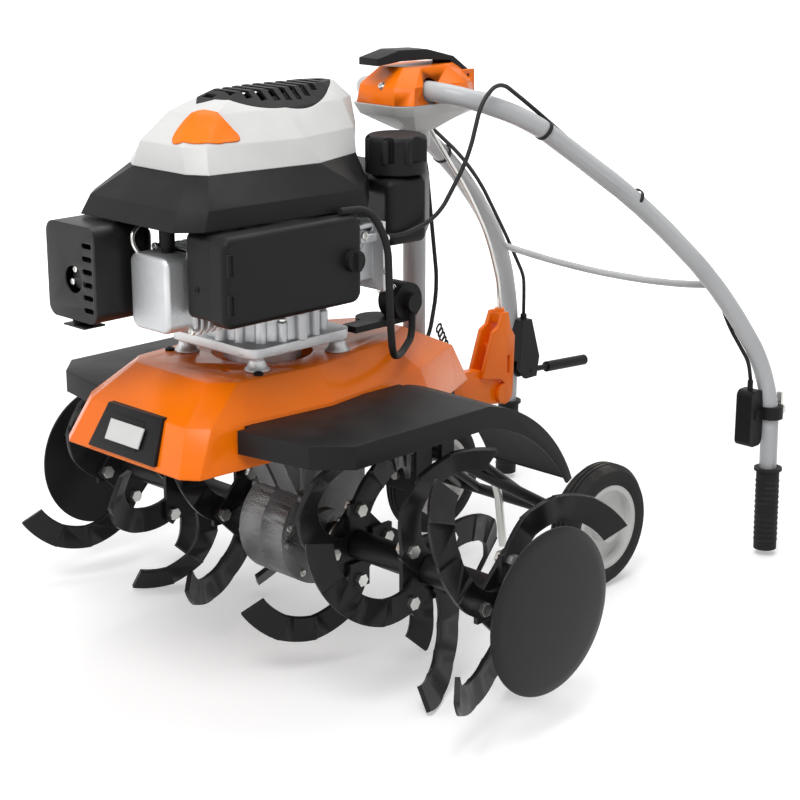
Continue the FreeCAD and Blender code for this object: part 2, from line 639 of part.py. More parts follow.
def engine():
    crank = size("crank_place")
    level = size("flange_level")
    thick = size("flange_thick")
    flange = rounded_box((crank - 92, crank + 96), (-92, 92), (level, level + thick), 20, "Z")
    body = Part.makeCylinder(72, 120, Vector(crank, 0, level + thick))
    barrel = Part.makeCylinder(34, 150, Vector(crank, 28, 500), AXES["X"])
    block = flange.fuse([body, barrel])
    for step in range(7):
        fin = rounded_box((crank + 84 + 10 * step, crank + 87 + 10 * step), (-10, 65), (450, 550), 12, "X")
        block = block.fuse(fin)
    port = Part.makeBox(26, 24, 36, Vector(166, -24, 482))
    block = block.fuse(port)
    for x in (crank - 58, crank + 58):
        for y in (-35, 35):
            block = block.fuse(Part.makeCylinder(5, size("shroud_top") - size("shell_wall") - 540, Vector(x, y, 540)))
    post_low = size("chassis_level") + size("chassis_thick")
    for x, y in post_spots():
        post = Part.makeCylinder(size("post_radius") - 2, level - post_low, Vector(x, y, post_low))
        foot = Part.makeCone(size("post_radius"), size("post_radius") - 2, 6, Vector(x, y, size("deck_top") + 0.5))
        block = block.fuse([post, foot])
    seal = Part.makeCylinder(48, 22, Vector(crank, 0, level - 22))
    block = block.fuse(seal)
    bore = Part.makeCylinder(size("crank_radius") + size("running_gap"), 300, Vector(crank, 0, level - 30))
    chamber = Part.makeCylinder(56, 96, Vector(crank, 0, level + thick + 6))
    swept = Part.makeCylinder(26, 96, Vector(crank + 40, 28, 500), AXES["X"])
    block = block.cut([bore, chamber, swept]).removeSplitter()
    node(shaped("crankcase", block))
    exhaust(block)
    fuel_system(block)

    cover = rounded_box((crank + 151, crank + 192), (-6, 62), (458, 546), 12, "X")
    cover = cover.makeFillet(5, [e for e in cover.Edges if e.CenterOfMass.x > crank + 191.9])
    rim = rounded_box((crank + 150, crank + 156), (-8, 64), (452, 552), 12, "X")
    plug = rod((crank + 165, 30, 546), (crank + 165, 30, 566), 6.5)
    boot = rod((crank + 165, 30, 552), (crank + 165, 30, 576), 9)
    node(shaped("valve_cover", cover.fuse(rim).removeSplitter()))
    node(shaped("spark_plug", plug.fuse(boot)))

    low = size("belt_level") - size("pulley_high") / 2 - 6
    bar = Part.makeCylinder(size("crank_radius"), 612 - low, Vector(crank, 0, low))
    webs = [Part.makeCylinder(40, 12, Vector(crank, 0, 452)), Part.makeCylinder(40, 12, Vector(crank, 0, 492))]
    fan = Part.makeCylinder(58, 10, Vector(crank, 0, 598))
    bar = bar.fuse(webs + [fan])
    for step in range(12):
        blade = Part.makeBox(22, 3, 20, Vector(34, -1.5, 607))
        blade.rotate(Vector(0, 0, 0), AXES["Z"], 30 * step)
        blade.translate(Vector(crank, 0, 0))
        bar = bar.fuse(blade)
    node(shaped("crankshaft", bar.removeSplitter()))

    shroud_levels = [
        (size("shroud_bottom"), ((258, 84), (232, 108), (0, 126), (-52, 76), (-76, 40))),
        (size("shroud_bottom") + 22, ((246, 80), (222, 104), (0, 120), (-52, 72), (-76, 40))),
        (size("shroud_top"), ((208, 48), (194, 72), (44, 94), (-40, 66), (-66, 36)))]
    shroud = faceted_shell(shroud_levels, size("shell_wall"))
    opening = Part.makeCylinder(62, 40, Vector(crank, 0, size("shroud_top") - 30))
    node(shaped("engine_shroud", shroud.cut(opening)))

    cowl_low = size("shroud_top") + size("body_gap")
    top = size("cowl_top")
    cowl_levels = [
        (cowl_low, ((208, 48), (194, 72), (44, 94), (-40, 66), (-66, 36))),
        (top - 58, ((204, 38), (184, 58), (60, 82), (-44, 58), (-72, 32))),
        (top - 26, ((172, 24), (152, 38), (60, 52), (-42, 40), (-72, 24))),
        (top - 6, ((118, 12), (106, 20), (50, 28), (-26, 22), (-54, 12)))]
    cowl = faceted_shell(cowl_levels, size("shell_wall"))
    mouth = lens(size("grille_long"), size("grille_wide"), cowl_low + 6, 100)
    node(shaped("top_cowl", cowl.cut(mouth).removeSplitter()))

    gap = size("body_gap")
    grille = cowl.common(lens(size("grille_long") - gap, size("grille_wide") - gap, cowl_low + 6, 100))
    for step in range(11):
        x = GRILLE_PLACE + (step - 5) * 17
        reach = size("grille_wide") * (1 - ((x - GRILLE_PLACE) / size("grille_long")) ** 2) - 9
        grille = grille.cut(Part.makeBox(9, 2 * reach, 100, Vector(x - 4.5, -reach, cowl_low)))
    node(shaped("intake_grille", grille.removeSplitter()))


CAP_PLACE = (-100, 74)


def fuel_system(block):
    """Tank, cap, air filter, carburettor and breather, seated against the engine block."""
    outline = ((-52, 108), (-112, 112), (-172, 62), (-176, -86), (-79, -86), (-79, 44))
    inner = ((-57, 101), (-110, 106), (-166, 58), (-170, -80), (-85, -80), (-85, 44))
    tank = prism([(x, y, 522) for x, y in outline], (0, 0, 80))
    tank = tank.makeFillet(9, tank.Edges)
    neck = Part.makeCylinder(24, 14, Vector(*CAP_PLACE, 597))
    inside = prism([(x, y, 526) for x, y in inner], (0, 0, 72))
    bore = Part.makeCylinder(18, 40, Vector(*CAP_PLACE, 590))
    bracket = Part.makeBox(14, 80, 30, Vector(-93, -60, 500))
    lug = Part.makeBox(92, 60, 6, Vector(-90, -60, 500))
    tank = tank.fuse([neck, bracket]).cut([inside, bore]).fuse(lug.cut(block))
    node(shaped("fuel_tank", tank.removeSplitter()))

    radius = size("cap_radius")
    cap = Part.makeCylinder(radius, size("cap_high"), Vector(*CAP_PLACE, 606))
    cap = cap.makeFillet(8, [e for e in cap.Edges if e.CenterOfMass.z > 606 + size("cap_high") - 1])
    for step in range(6):
        angle = math.radians(60 * step + 30)
        scoop = Part.makeCylinder(9, 60, Vector(CAP_PLACE[0] + (radius + 4) * math.cos(angle),
                                                CAP_PLACE[1] + (radius + 4) * math.sin(angle), 620))
        cap = cap.cut(scoop)
    recess = Part.makeCylinder(24 + size("body_gap"), 5 + size("body_gap"), Vector(*CAP_PLACE, 606))
    node(shaped("fuel_cap", cap.cut(recess)))

    base = rounded_box((28, 230), (74, 116), (478, 576), 8, "Y")
    room = rounded_box((36, 222), (80, 117), (486, 568), 6, "Y")
    tube = rod((28.2, 84, 520), (60, 84, 520), 12)
    node(shaped("filter_base", base.cut(room).fuse(tube).removeSplitter()))
    cover = rounded_box((24, 234), (116.3, 143), (474, 578), 14, "Y")
    cover = cover.makeFillet(8, [e for e in cover.Edges if e.CenterOfMass.y > 142.9])
    hollow = rounded_box((30, 228), (115, 139), (480, 572), 10, "Y")
    knob_hole = Part.makeCylinder(4 + size("running_gap"), 40, Vector(42, 120, 526), AXES["Y"])
    node(shaped("filter_cover", cover.cut([hollow, knob_hole])))
    knob = Part.makeCylinder(13, 9, Vector(42, 143.3, 526), AXES["Y"])
    grip = Part.makeBox(5, 9, 22, Vector(39.5, 148, 515))
    stem = Part.makeCylinder(4, 18, Vector(42, 126, 526), AXES["Y"])
    node(shaped("filter_knob", knob.fuse([grip, stem])))

    body = rounded_box((-30, 27.7), (66, 108), (486, 556), 5)
    throat = rod((-46, 84, 520), (27.9, 84, 520), 13)
    plate = Part.makeBox(4, 66, 84, Vector(-30, 60, 476))
    mount = rod((-14, 60, 520), (-14, 78, 520), 14)
    shaft = rod((-10, 80, 540), (-10, 116, 540), 3)
    arm = Part.makeBox(28, 2.5, 10, Vector(-28, 112, 535))
    foot = rod((0, 40, 500), (0, 80, 500), 10).cut(block)
    node(shaped("carburettor", body.fuse([throat, plate, mount, shaft, arm, foot]).removeSplitter()))

    drum = Part.makeCylinder(24, 30, Vector(-118, 48, 440), AXES["Y"])
    spigot = rod((-118, 84, 428), (-118, 84, 446), 5)
    nose = rod((-118, 70, 440), (-118, 90, 440), 12)
    ring = Part.makeCylinder(26, 8, Vector(-92, 46, 412))
    arm = Part.makeBox(100, 24, 8, Vector(-128, 46, 412)).cut(block)
    node(shaped("breather_housing", drum.fuse([spigot, nose, ring, arm]).removeSplitter()))

    hose = [(50, 132, 583), (6, 136, 582), (-12, 148, 540), (-16, 148, 440), (-24, 144, 400),
            (-66, 114, 386), (-118, 84, 396), (-118, 84, 427.9)]
    node(shaped("breather_hose", bent_tube(hose, size("hose_radius"))))


def exhaust(block):
    """The muffler on its port pipe and the guard in front of it."""
    can = rounded_box((196, 276), (-100, -26), (474, 566), 12)
    inlet = rod((186, -10, 500), (214, -50, 500), 11).cut(block)
    pipe = rod((270, -56, 512), (284, -56, 512), 12)
    node(shaped("muffler", can.fuse([inlet, pipe])))
    outer = rounded_box((222, 292), (-106, -14), (464, 576), 14, "X")
    inner = rounded_box((214, 290), (-104, -16), (466, 574), 12, "X")
    guard = outer.cut(inner)
    guard = guard.cut(Part.makeCylinder(16, 20, Vector(280, -56, 512), AXES["X"]))
    for step in range(6):
        low = 476 + 15 * step
        guard = guard.cut(rounded_box((280, 300), (-38, -20), (low, low + 6), 2.8, "X"))
    tab = Part.makeBox(30, 40, 2, Vector(262, -80, 455))
    web = Part.makeBox(30, 2, 10, Vector(262, -62, 455))
    bridge = [Part.makeBox(14, 5, 12, Vector(224, -105, 514)), Part.makeBox(14, 12, 12, Vector(224, -26, 514))]
    node(shaped("muffler_guard", guard.fuse([tab, web] + bridge).removeSplitter()))


# ---------------------------------------------------------------- handlebar
HANDLE_HALF = ((-681, 252, 13), (-684, 246, 262), (-606, 202, 402), (-474, 162, 530),
               (-289, 125, 656), (-192, 92, 693))


def handle_points():
    left = [Vector(*p) for p in HANDLE_HALF]
    left[-1] = Vector(-size("console_place"), HANDLE_HALF[-1][1], size("console_level"))
    right = [Vector(v.x, -v.y, v.z) for v in reversed(left)]
    return [tuple(v) for v in left + right]


def handlebar():
    tube = size("tube_radius")
    stem_foot = size("chassis_level") + size("chassis_thick")
    place = -size("stem_place")
    bar = cylinder("stem_tube", cell("stem_radius"), 640 - stem_foot, (place, 0, stem_foot))
    collar = cylinder("stem_collar", 24, 10, (place, 0, stem_foot))
    bore = cylinder("stem_bore", "Sizes.stem_radius - 2.5", 640, (place, 0, stem_foot))
    node(cut("stem", fuse("stem_body", [bar, collar]), bore))

    level = size("console_level")
    centre = -size("console_place")
    split = level - 16
    tray = loft([mirrored_ring(((place + 22, 12), (place + 18, 20), (place - 18, 20), (place - 22, 12)), 640),
                 mirrored_ring(((-142, 32), (-160, 46), (-262, 44), (-322, 20)), split - 14)])
    rim = loft([mirrored_ring(((-142, 32), (-160, 46), (-262, 44), (-322, 20)), split - 14),
                mirrored_ring(((-134, 36), (-154, 52), (-262, 50), (-332, 22)), split)])
    neck = Part.makeCylinder(20, 34, Vector(place, 0, 618))
    saddle = Part.makeCylinder(20, 80, Vector(centre, -40, level), AXES["Y"])
    saddle = saddle.common(Part.makeBox(60, 120, 16, Vector(centre - 30, -60, level - 17)))
    base = tray.fuse([rim, neck, saddle])
    tube_hole = Part.makeCylinder(tube + size("handle_gap"), 300, Vector(centre, -150, level), AXES["Y"])
    for side in SIDES.values():
        start = Vector(centre, side * 41, level)
        base = base.cut(Part.makeCylinder(tube + 4, 60, start, Vector(0, side, 0)))
    stem_hole = Part.makeCylinder(size("stem_radius"), 24, Vector(place, 0, 616))
    node(shaped("console_base", base.cut([tube_hole, stem_hole]).removeSplitter()))

    low = split + size("body_gap")
    levels = [(low, ((-138, 34), (-156, 50), (-258, 48), (-292, 26))),
              (low + 22, ((-140, 30), (-160, 48), (-254, 46), (-292, 24))),
              (low + 44, ((-166, 20), (-184, 34), (-236, 32), (-262, 16)))]
    cover = faceted_shell(levels, size("shell_wall"))
    notch = Part.makeBox(60, 2 * 17 + 2 * size("body_gap"), 60,
                         Vector(-312, -17 - size("body_gap"), low + 12))
    cover = cover.cut(notch)
    tube_slot = Part.makeCylinder(tube + 4, 300, Vector(centre, -150, level), AXES["Y"])
    lug_pair = [Part.makeBox(22, 6, 30, Vector(-292, y, low + 4)) for y in (-26, 20)]
    pin_hole = Part.makeCylinder(3 + size("running_gap"), 80, Vector(-280, -40, low + 26), AXES["Y"])
    node(shaped("console_cover", cover.fuse(lug_pair).cut([tube_slot, pin_hole]).removeSplitter()))

    height = low + 26
    top = [(-292, height + 6), (-262, height + 26), (-214, height + 38), (-164, height + 40), (-126, height + 32)]
    under = [(-126, height + 23), (-166, height + 26), (-212, height + 25), (-257, height + 21),
             (-263, height - 4), (-284, height - 6)]
    lever = prism([(x, -17, z) for x, z in top + under], (0, 34, 0))
    pivot = Part.makeCylinder(3, 50, Vector(-280, -25, height), AXES["Y"])
    lever = lever.fuse(pivot)
    node(shaped("console_lever", lever))

    points = handle_points()
    main = bent_tube(points, tube).cut(bent_tube(points, tube - size("tube_wall")))
    cross_y = 202
    bow = Part.Arc(Vector(-606, -cross_y, 402), Vector(-622, 0, 384), Vector(-606, cross_y, 402)).toShape()
    ahead = bow.tangentAt(bow.FirstParameter)
    circle = Part.Wire(Part.makeCircle(size("crossbar_radius"), Vector(-606, -cross_y, 402), ahead))
    cross = Part.Wire([bow]).makePipeShell([circle], True, False, 2)
    node(shaped("handlebar", main.fuse(cross).removeSplitter()))

    grips = []
    long = size("grip_long")
    for name, side in SIDES.items():
        run = (Vector(*points[1]) - Vector(*points[0])).normalize()
        start = Vector(*points[0])
        if side < 0:
            start.y = -start.y
            run.y = -run.y
        start = start - run * 5
        sleeve = Part.makeCylinder(size("grip_radius"), long, start, run)
        ridges = [Part.makeTorus(size("grip_radius") - 0.4, 1.2, start + run * (14 + 8 * step), run)
                  for step in range(12)]
        lip = Part.makeCylinder(size("grip_flange"), 4, start + run * (long - 4), run)
        hole = Part.makeCylinder(tube, long, start + run * 5, run)
        grips.append(shaped(f"grip_{name}", sleeve.fuse(ridges + [lip]).cut(hole)))
    node(compound("grips", grips))


def controls():
    """The throttle block on the left arm and the drive lever on the right arm."""
    y = THROTTLE_ROUTE[-1][1]
    main = bent_tube(handle_points(), size("tube_radius"))
    body = rounded_box((-669, -640), (y - 14, y + 12), (166, 248), 9, "Y")
    clamp = Part.makeCylinder(17, 18, Vector(-682.5, 249, 204))
    arm = Part.makeBox(22, 18, 14, Vector(-672, y - 4, 206))
    ferrule = rod((-652, y, 246), (-652, y, 261.9), 4)
    boss = rod((-696, 249, 213), (-709, 249, 213), 4)
    block = body.fuse([clamp, arm]).cut(main).fuse([ferrule, boss])
    node(shaped("throttle_housing", block.removeSplitter()))
    head = rod((-699.8, 249, 213), (-706, 249, 213), 9)
    wing = Part.makeBox(5, 8, 34, Vector(-706, 245, 204))
    boss_hole = rod((-690, 249, 213), (-712, 249, 213), 4 + size("running_gap"))
    node(shaped("throttle_lever", head.fuse(wing).cut(boss_hole).removeSplitter()))

    y = -222
    shell = prism([(-670, y - 11, 268), (-692, y - 11, 268), (-712, y - 11, 204), (-706, y - 11, 172),
                   (-680, y - 11, 172), (-664, y - 11, 190)], (0, 22, 0))
    band = Part.makeCylinder(17, 20, Vector(-683, -248, 222))
    neck = rod((-684, y, 266), (-684, y, 276), 5)
    slot = Part.makeBox(70, 10, 44, Vector(-724, y - 5, 158))
    right = main
    pin_hole = Part.makeCylinder(3 + size("running_gap"), 40, Vector(-694, y - 20, 182), AXES["Y"])
    node(shaped("drive_housing", shell.fuse([band, neck]).cut([slot, right, pin_hole]).removeSplitter()))
    eye = Part.makeCylinder(12, 9, Vector(-694, y - 4.5, 182), AXES["Y"])
    pin = Part.makeCylinder(3, 24, Vector(-694, y - 12, 182), AXES["Y"])
    grip = rod((-700, y, 181), (-838, y, 172), 4.4)
    pad = rod((-742, y, 178.3), (-838, y, 172), 8.5)
    node(shaped("drive_lever", eye.fuse([pin, grip, pad])))




def beside(index, away, side):
    """A cable corner lying against the handlebar tube at one of its corners."""
    before, corner, after = [Vector(*HANDLE_HALF[index + step]) for step in (-1, 0, 1)]
    along = ((corner - before).normalize() + (after - corner).normalize()).normalize()
    push = Vector(*away)
    push = (push - along * push.dot(along)).normalize()
    reach = size("tube_radius") + size("cable_radius") + size("cable_gap")
    spot = corner + push * reach
    return spot.x, side * spot.y, spot.z


THROTTLE_ROUTE = ((-30.3, 113, 540), (-72, 114, 536), (-124, 122, 552), (-172, 128, 620), (-196, 126, 686),
                  (-238, 118, 708), beside(4, (0, -0.5, 1), 1), beside(3, (0, -1, 0.6), 1),
                  beside(2, (-1, -0.8, 0), 1), (-632, 200, 345), (-648, 230, 290), (-652, 232, 262.6))
DRIVE_ROUTE = ((-176, 34, 344), (-206, 30, 372), (-238, 14, 430), (-246, -6, 520), (-254, -26, 606),
               (-286, -94, 640), beside(4, (0, -1, 0.3), -1), beside(3, (-0.6, -0.5, 0.6), -1),
               beside(2, (-0.8, 0.2, 0.5), -1), (-664, -206, 344), (-684, -222, 316), (-684, -222, 276.4))
RELEASE_ROUTE = ((-235, 0, 638.4), (-262, 0, 606), (-314, 0, 540), (-352, 0, 476), (-374, 0, 412), (-377, 0, 375.2))


def cables():
    wire = size("cable_radius")
    node(shaped("throttle_cable", bent_tube(THROTTLE_ROUTE, wire)))
    node(shaped("drive_cable", bent_tube(DRIVE_ROUTE, wire)))
    node(shaped("release_cable", bent_tube(RELEASE_ROUTE, wire)))


# ---------------------------------------------------------------- rear end
def rear_end():
    px, pz = -size("pivot_place"), size("pivot_level")
    thick = size("bracket_thick")
    arm = prism([(-190, -thick, 322), (-190, -thick, 306), (-262, -thick, 276), (-330, -thick, 246),
                 (px, -thick, pz - 16), (px - 16, -thick, pz), (px, -thick, pz + 14), (-352, -thick, 282),
                 (-330, -thick, 296), (-262, -thick, 300), (-240, -thick, 322)], (0, 2 * thick, 0))
    foot = Part.makeBox(60, 60, 6, Vector(-206, -30, 320))
    boss = Part.makeCylinder(16, 2 * thick, Vector(px, -thick, pz), AXES["Y"])
    gap = size("body_gap")
    lock = prism([(px - 15, 0, pz + 2), (px - 18, 0, pz + 80), (px - 10, 0, pz + 92), (px - 4, 0, pz + 116),
                  (px + 6, 0, pz + 116), (px + 14, 0, pz + 98), (px + 26, 0, pz + 92), (px + 40, 0, pz + 52),
                  (px + 48, 0, pz + 30), (px + 30, 0, pz + 26), (px + 10, 0, pz + 22)], (0, 6, 0))
    cheeks = []
    for y in (thick + gap, -thick - gap - 6):
        cheek = lock.copy()
        cheek.translate(Vector(0, y, 0))
        cheeks.append(cheek)
    bridge = Part.makeBox(34, 2 * (thick + gap) + 2, 10, Vector(px - 14, -thick - gap - 1, pz + 60))
    nub = Part.makeCylinder(7, 16, Vector(px - 1, 0, pz + 104))
    span = Part.makeBox(12, 2 * (thick + gap) + 2, 14, Vector(px - 5, -thick - gap - 1, pz + 100))
    pivot = Part.makeCylinder(6, 2 * (thick + gap) + 12, Vector(px, -thick - gap - 6, pz), AXES["Y"])
    disc = Part.makeCylinder(15, 2 * (thick + gap) + 12, Vector(px, -thick - gap - 6, pz), AXES["Y"])
    disc = disc.cut(Part.makeBox(60, 2 * (thick + gap), 60, Vector(px - 30, -thick - gap, pz - 30)))
    plate = cheeks[0].fuse([cheeks[1], bridge, nub, span, disc, pivot])
    plate = plate.cut(Part.makeBox(5, 60, 26, Vector(px - 8, -30, pz + 28)))
    node(shaped("lock_plate", plate.removeSplitter()))
    bore = Part.makeCylinder(6 + size("running_gap"), 60, Vector(px, -30, pz), AXES["Y"])
    node(shaped("rear_bracket", arm.fuse([foot, boss]).cut(bore).removeSplitter()))
    undercarriage()


def undercarriage():
    """The transport wheels on their swinging frame, and the drag spur in its holder."""
    track = size("wheel_track")
    wide = size("wheel_wide")
    radius = size("wheel_radius")
    rim = size("rim_radius")
    wheel = Vector(-size("wheel_place"), 0, radius + 0.5)
    pivot = (-size("frame_pivot_place"), 0, size("frame_pivot_level"))
    pin = size("axle_pin_radius")
    strut = size("strut_radius")
    end = track - wide / 2 - 3
    bars = [Part.makeCylinder(pin, 2 * (track + wide / 2 + 4), Vector(wheel.x, -track - wide / 2 - 4, wheel.z),
                              AXES["Y"]),
            Part.makeCylinder(strut, 2 * end, Vector(wheel.x, -end, wheel.z), AXES["Y"])]
    eye = Part.makeCylinder(12, 72, Vector(pivot[0], -36, pivot[2]), AXES["Y"])
    bore = Part.makeCylinder(6 + size("running_gap"), 140, Vector(pivot[0], -70, pivot[2]), AXES["Y"])
    for side in SIDES.values():
        bars.append(rod((pivot[0] - 2, side * 20, pivot[2]), (wheel.x, side * 100, wheel.z), strut))
        bars.append(rod((wheel.x, side * 60, wheel.z), (pivot[0] - 60, side * 58, pivot[2] - 26), strut - 2))
    node(shaped("wheel_frame", eye.fuse(bars).cut(bore).removeSplitter()))

    for name, side in SIDES.items():
        hub = revolved([(pin + size("running_gap"), -wide / 2), (20, -wide / 2), (20, -4), (rim - 8, -4),
                        (rim - 8, -wide / 2 + 4), (rim, -wide / 2 + 4), (rim, wide / 2 - 4),
                        (rim - 8, wide / 2 - 4), (rim - 8, 4), (20, 4), (20, wide / 2),
                        (pin + size("running_gap"), wide / 2)], (wheel.x, side * track, wheel.z), "Y")
        node(shaped(f"wheel_{name}", hub))
        half = wide / 2 - 4
        tread = [(rim, -half), (rim + 9, -half - 2), (radius - 8, -half), (radius - 2, -half + 7),
                 (radius, -9), (radius - 3, -8), (radius - 3, -6), (radius, -5), (radius, -1.5),
                 (radius - 3, -1), (radius - 3, 1), (radius, 1.5), (radius, 5), (radius - 3, 6),
                 (radius - 3, 8), (radius, 9), (radius - 2, half - 7), (radius - 8, half),
                 (rim + 9, half + 2), (rim, half)]
        tyre = revolved(tread, (wheel.x, side * track, wheel.z), "Y")
        node(shaped(f"tyre_{name}", tyre))

    gap = size("body_gap")
    spur = size("spur_radius")
    level = size("chassis_level")
    half = 36 + gap
    hanger = [Part.makeBox(24, 8, level - pivot[2] + 12, Vector(pivot[0] - 12, y, pivot[2] - 12))
              for y in (half, -half - 8)]
    pin_bar = Part.makeCylinder(6, 2 * half + 16, Vector(pivot[0], -half - 8, pivot[2]), AXES["Y"])
    cross = [Part.makeBox(24, half - 22, 6, Vector(pivot[0] - 12, y, level - 6)) for y in (30, -half - 8)]
    ties = [Part.makeBox(30, 6, level - 172, Vector(-206, y, 172)) for y in (30, -36)]
    lap = [Part.makeBox(60, 6, 20, Vector(-236, y, level - 26)) for y in (30.3, -36.3)]
    block = Part.makeBox(30, 72, 30, Vector(-206, -36, 160))
    straight = Vector(*SPUR_ROUTE[1]) - Vector(*SPUR_ROUTE[0])
    bore = Part.makeCylinder(spur + size("running_gap"), 90, Vector(*SPUR_ROUTE[0]) - straight.normalize() * 20,
                             straight)
    node(shaped("spur_holder", block.fuse(hanger + [pin_bar] + cross + ties + lap).cut(bore).removeSplitter()))
    node(shaped("drag_spur", bent_tube(SPUR_ROUTE, spur)))


SPUR_ROUTE = ((-170, 0, 180), (-330, 0, 172), (-378, 0, 120), (-392, 0, 22))


def build_all():
    tine_rotor()
    gearbox()
    belt_drive()
    chassis()
    engine()
    handlebar()
    controls()
    cables()
    rear_end()


build_all()
doc.recompute()
print("axle height", round(AXLE, 2), "nodes", len(NODES))
whole = FreeCAD.BoundBox()
for thing in NODES:
    whole.add(thing.Shape.BoundBox)
middle = (whole.XMin + whole.XMax) / 2
for thing in NODES:
    thing.Placement = Placement(Vector(-middle, 0, 0), Rotation()).multiply(thing.Placement)
doc.recompute()
print("moved forward by", round(-middle, 3))
for thing in NODES:
    shape = thing.Shape
    broken = [state for state in thing.State if state in ("Invalid", "Error")]
    if broken or shape.isNull() or not shape.isValid():
        raise RuntimeError(f"{thing.Label} is not a good solid")
    print(thing.Label, len(shape.Solids), round(shape.Volume))
    shape.exportStep(os.path.join("parts", thing.Label + ".step"))
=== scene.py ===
"""Garden tiller: finishes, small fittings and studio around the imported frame.

All lengths are in metres. Places are given from the tine axle, straight under
which the machine's own origin stands: +X forward, +Y the machine's left, +Z up.
"""

import json
import logging
import math
from dataclasses import dataclass
from enum import Enum
from typing import Callable, Sequence

import bmesh
import bpy
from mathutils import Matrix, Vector

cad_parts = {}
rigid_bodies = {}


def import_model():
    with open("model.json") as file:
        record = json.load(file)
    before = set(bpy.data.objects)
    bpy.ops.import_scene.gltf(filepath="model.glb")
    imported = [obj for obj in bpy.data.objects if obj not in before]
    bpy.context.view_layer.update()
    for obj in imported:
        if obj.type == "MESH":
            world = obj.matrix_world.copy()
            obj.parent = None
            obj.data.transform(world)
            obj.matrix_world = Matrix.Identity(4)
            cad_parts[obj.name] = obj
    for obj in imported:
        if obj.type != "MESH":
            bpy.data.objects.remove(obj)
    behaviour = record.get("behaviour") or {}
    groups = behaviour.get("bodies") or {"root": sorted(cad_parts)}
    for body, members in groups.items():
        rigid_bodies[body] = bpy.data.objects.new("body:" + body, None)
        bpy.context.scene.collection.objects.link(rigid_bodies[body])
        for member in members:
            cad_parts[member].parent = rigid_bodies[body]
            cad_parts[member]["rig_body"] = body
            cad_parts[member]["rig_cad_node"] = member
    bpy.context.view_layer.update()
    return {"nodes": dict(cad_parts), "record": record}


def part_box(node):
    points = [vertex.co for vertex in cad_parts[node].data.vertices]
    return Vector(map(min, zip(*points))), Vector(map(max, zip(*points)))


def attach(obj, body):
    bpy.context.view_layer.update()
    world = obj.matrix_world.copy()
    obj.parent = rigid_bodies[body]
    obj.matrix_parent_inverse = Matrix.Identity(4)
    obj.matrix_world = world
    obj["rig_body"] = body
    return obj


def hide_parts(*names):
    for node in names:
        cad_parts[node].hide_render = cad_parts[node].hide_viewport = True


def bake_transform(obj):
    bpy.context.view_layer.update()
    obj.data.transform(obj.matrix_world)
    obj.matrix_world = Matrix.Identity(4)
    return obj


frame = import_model()
LOG = logging.getLogger("tiller")

Colour = tuple[float, float, float]
Point = tuple[float, float, float]


# --------------------------------------------------------------------------
# Node trees
# --------------------------------------------------------------------------


class Net:
    """Adds and joins the nodes of one shader tree."""

    def __init__(self, tree: bpy.types.NodeTree) -> None:
        """Keeps the tree that the other methods add to."""
        self.tree = tree

    def node(self, kind: str, **settings: object) -> bpy.types.Node:
        """Adds a node.

        Args:
            kind: The node's Blender type name.
            **settings: Properties to set on it.

        Returns:
            The new node.
        """
        made = self.tree.nodes.new(kind)
        for name, value in settings.items():
            setattr(made, name, value)
        return made

    def feed(self, socket: bpy.types.NodeSocket, value: object) -> None:
        """Links a socket to another, or sets its plain value."""
        if isinstance(value, bpy.types.NodeSocket):
            self.tree.links.new(value, socket)
        else:
            socket.default_value = value

    def math(self, operation: str, *values: object, clamp: bool = False) -> bpy.types.NodeSocket:
        """Adds a Math node and returns its result."""
        made = self.node("ShaderNodeMath", operation=operation, use_clamp=clamp)
        for socket, value in zip(made.inputs, values):
            self.feed(socket, value)
        return made.outputs[0]

    def vector(self, operation: str, *values: object) -> bpy.types.Node:
        """Adds a Vector Math node and returns it."""
        made = self.node("ShaderNodeVectorMath", operation=operation)
        for socket, value in zip(made.inputs, values):
            self.feed(socket, value)
        return made

    def mix(self, factor: object, first: object, second: object) -> bpy.types.NodeSocket:
        """Mixes two colours and returns the result."""
        made = self.node("ShaderNodeMix", data_type="RGBA")
        self.feed(made.inputs[0], factor)
        self.feed(made.inputs[6], first)
        self.feed(made.inputs[7], second)
        return made.outputs[2]

    def noise(self, where: object, scale: object, detail: float = 3.0) -> bpy.types.NodeSocket:
        """Adds a Noise Texture and returns its value."""
        made = self.node("ShaderNodeTexNoise")
        self.feed(made.inputs["Vector"], where)
        self.feed(made.inputs["Scale"], scale)
        made.inputs["Detail"].default_value = detail
        return made.outputs[0]

    def spread(self, value: object, low: object, high: object) -> bpy.types.NodeSocket:
        """Maps low..high to 0..1, held at both ends, and returns the result."""
        made = self.node("ShaderNodeMapRange", interpolation_type="SMOOTHSTEP")
        self.feed(made.inputs["Value"], value)
        self.feed(made.inputs["From Min"], low)
        self.feed(made.inputs["From Max"], high)
        return made.outputs[0]


def new_group(
    name: str,
    inputs: Sequence[tuple[str, float]],
    outputs: Sequence[tuple[str, str]],
) -> tuple[Net, bpy.types.Node, bpy.types.Node]:
    """Starts a shader node group.

    Args:
        name: The group's name.
        inputs: Each value input's label and default.
        outputs: Each output's label and socket type.

    Returns:
        The net to fill, its input node and its output node.
    """
    tree = bpy.data.node_groups.new(name, "ShaderNodeTree")
    for label, default in inputs:
        socket = tree.interface.new_socket(label, in_out="INPUT", socket_type="NodeSocketFloat")
        socket.default_value = default
    for label, kind in outputs:
        tree.interface.new_socket(label, in_out="OUTPUT", socket_type=kind)
    net = Net(tree)
    return net, net.node("NodeGroupInput"), net.node("NodeGroupOutput")


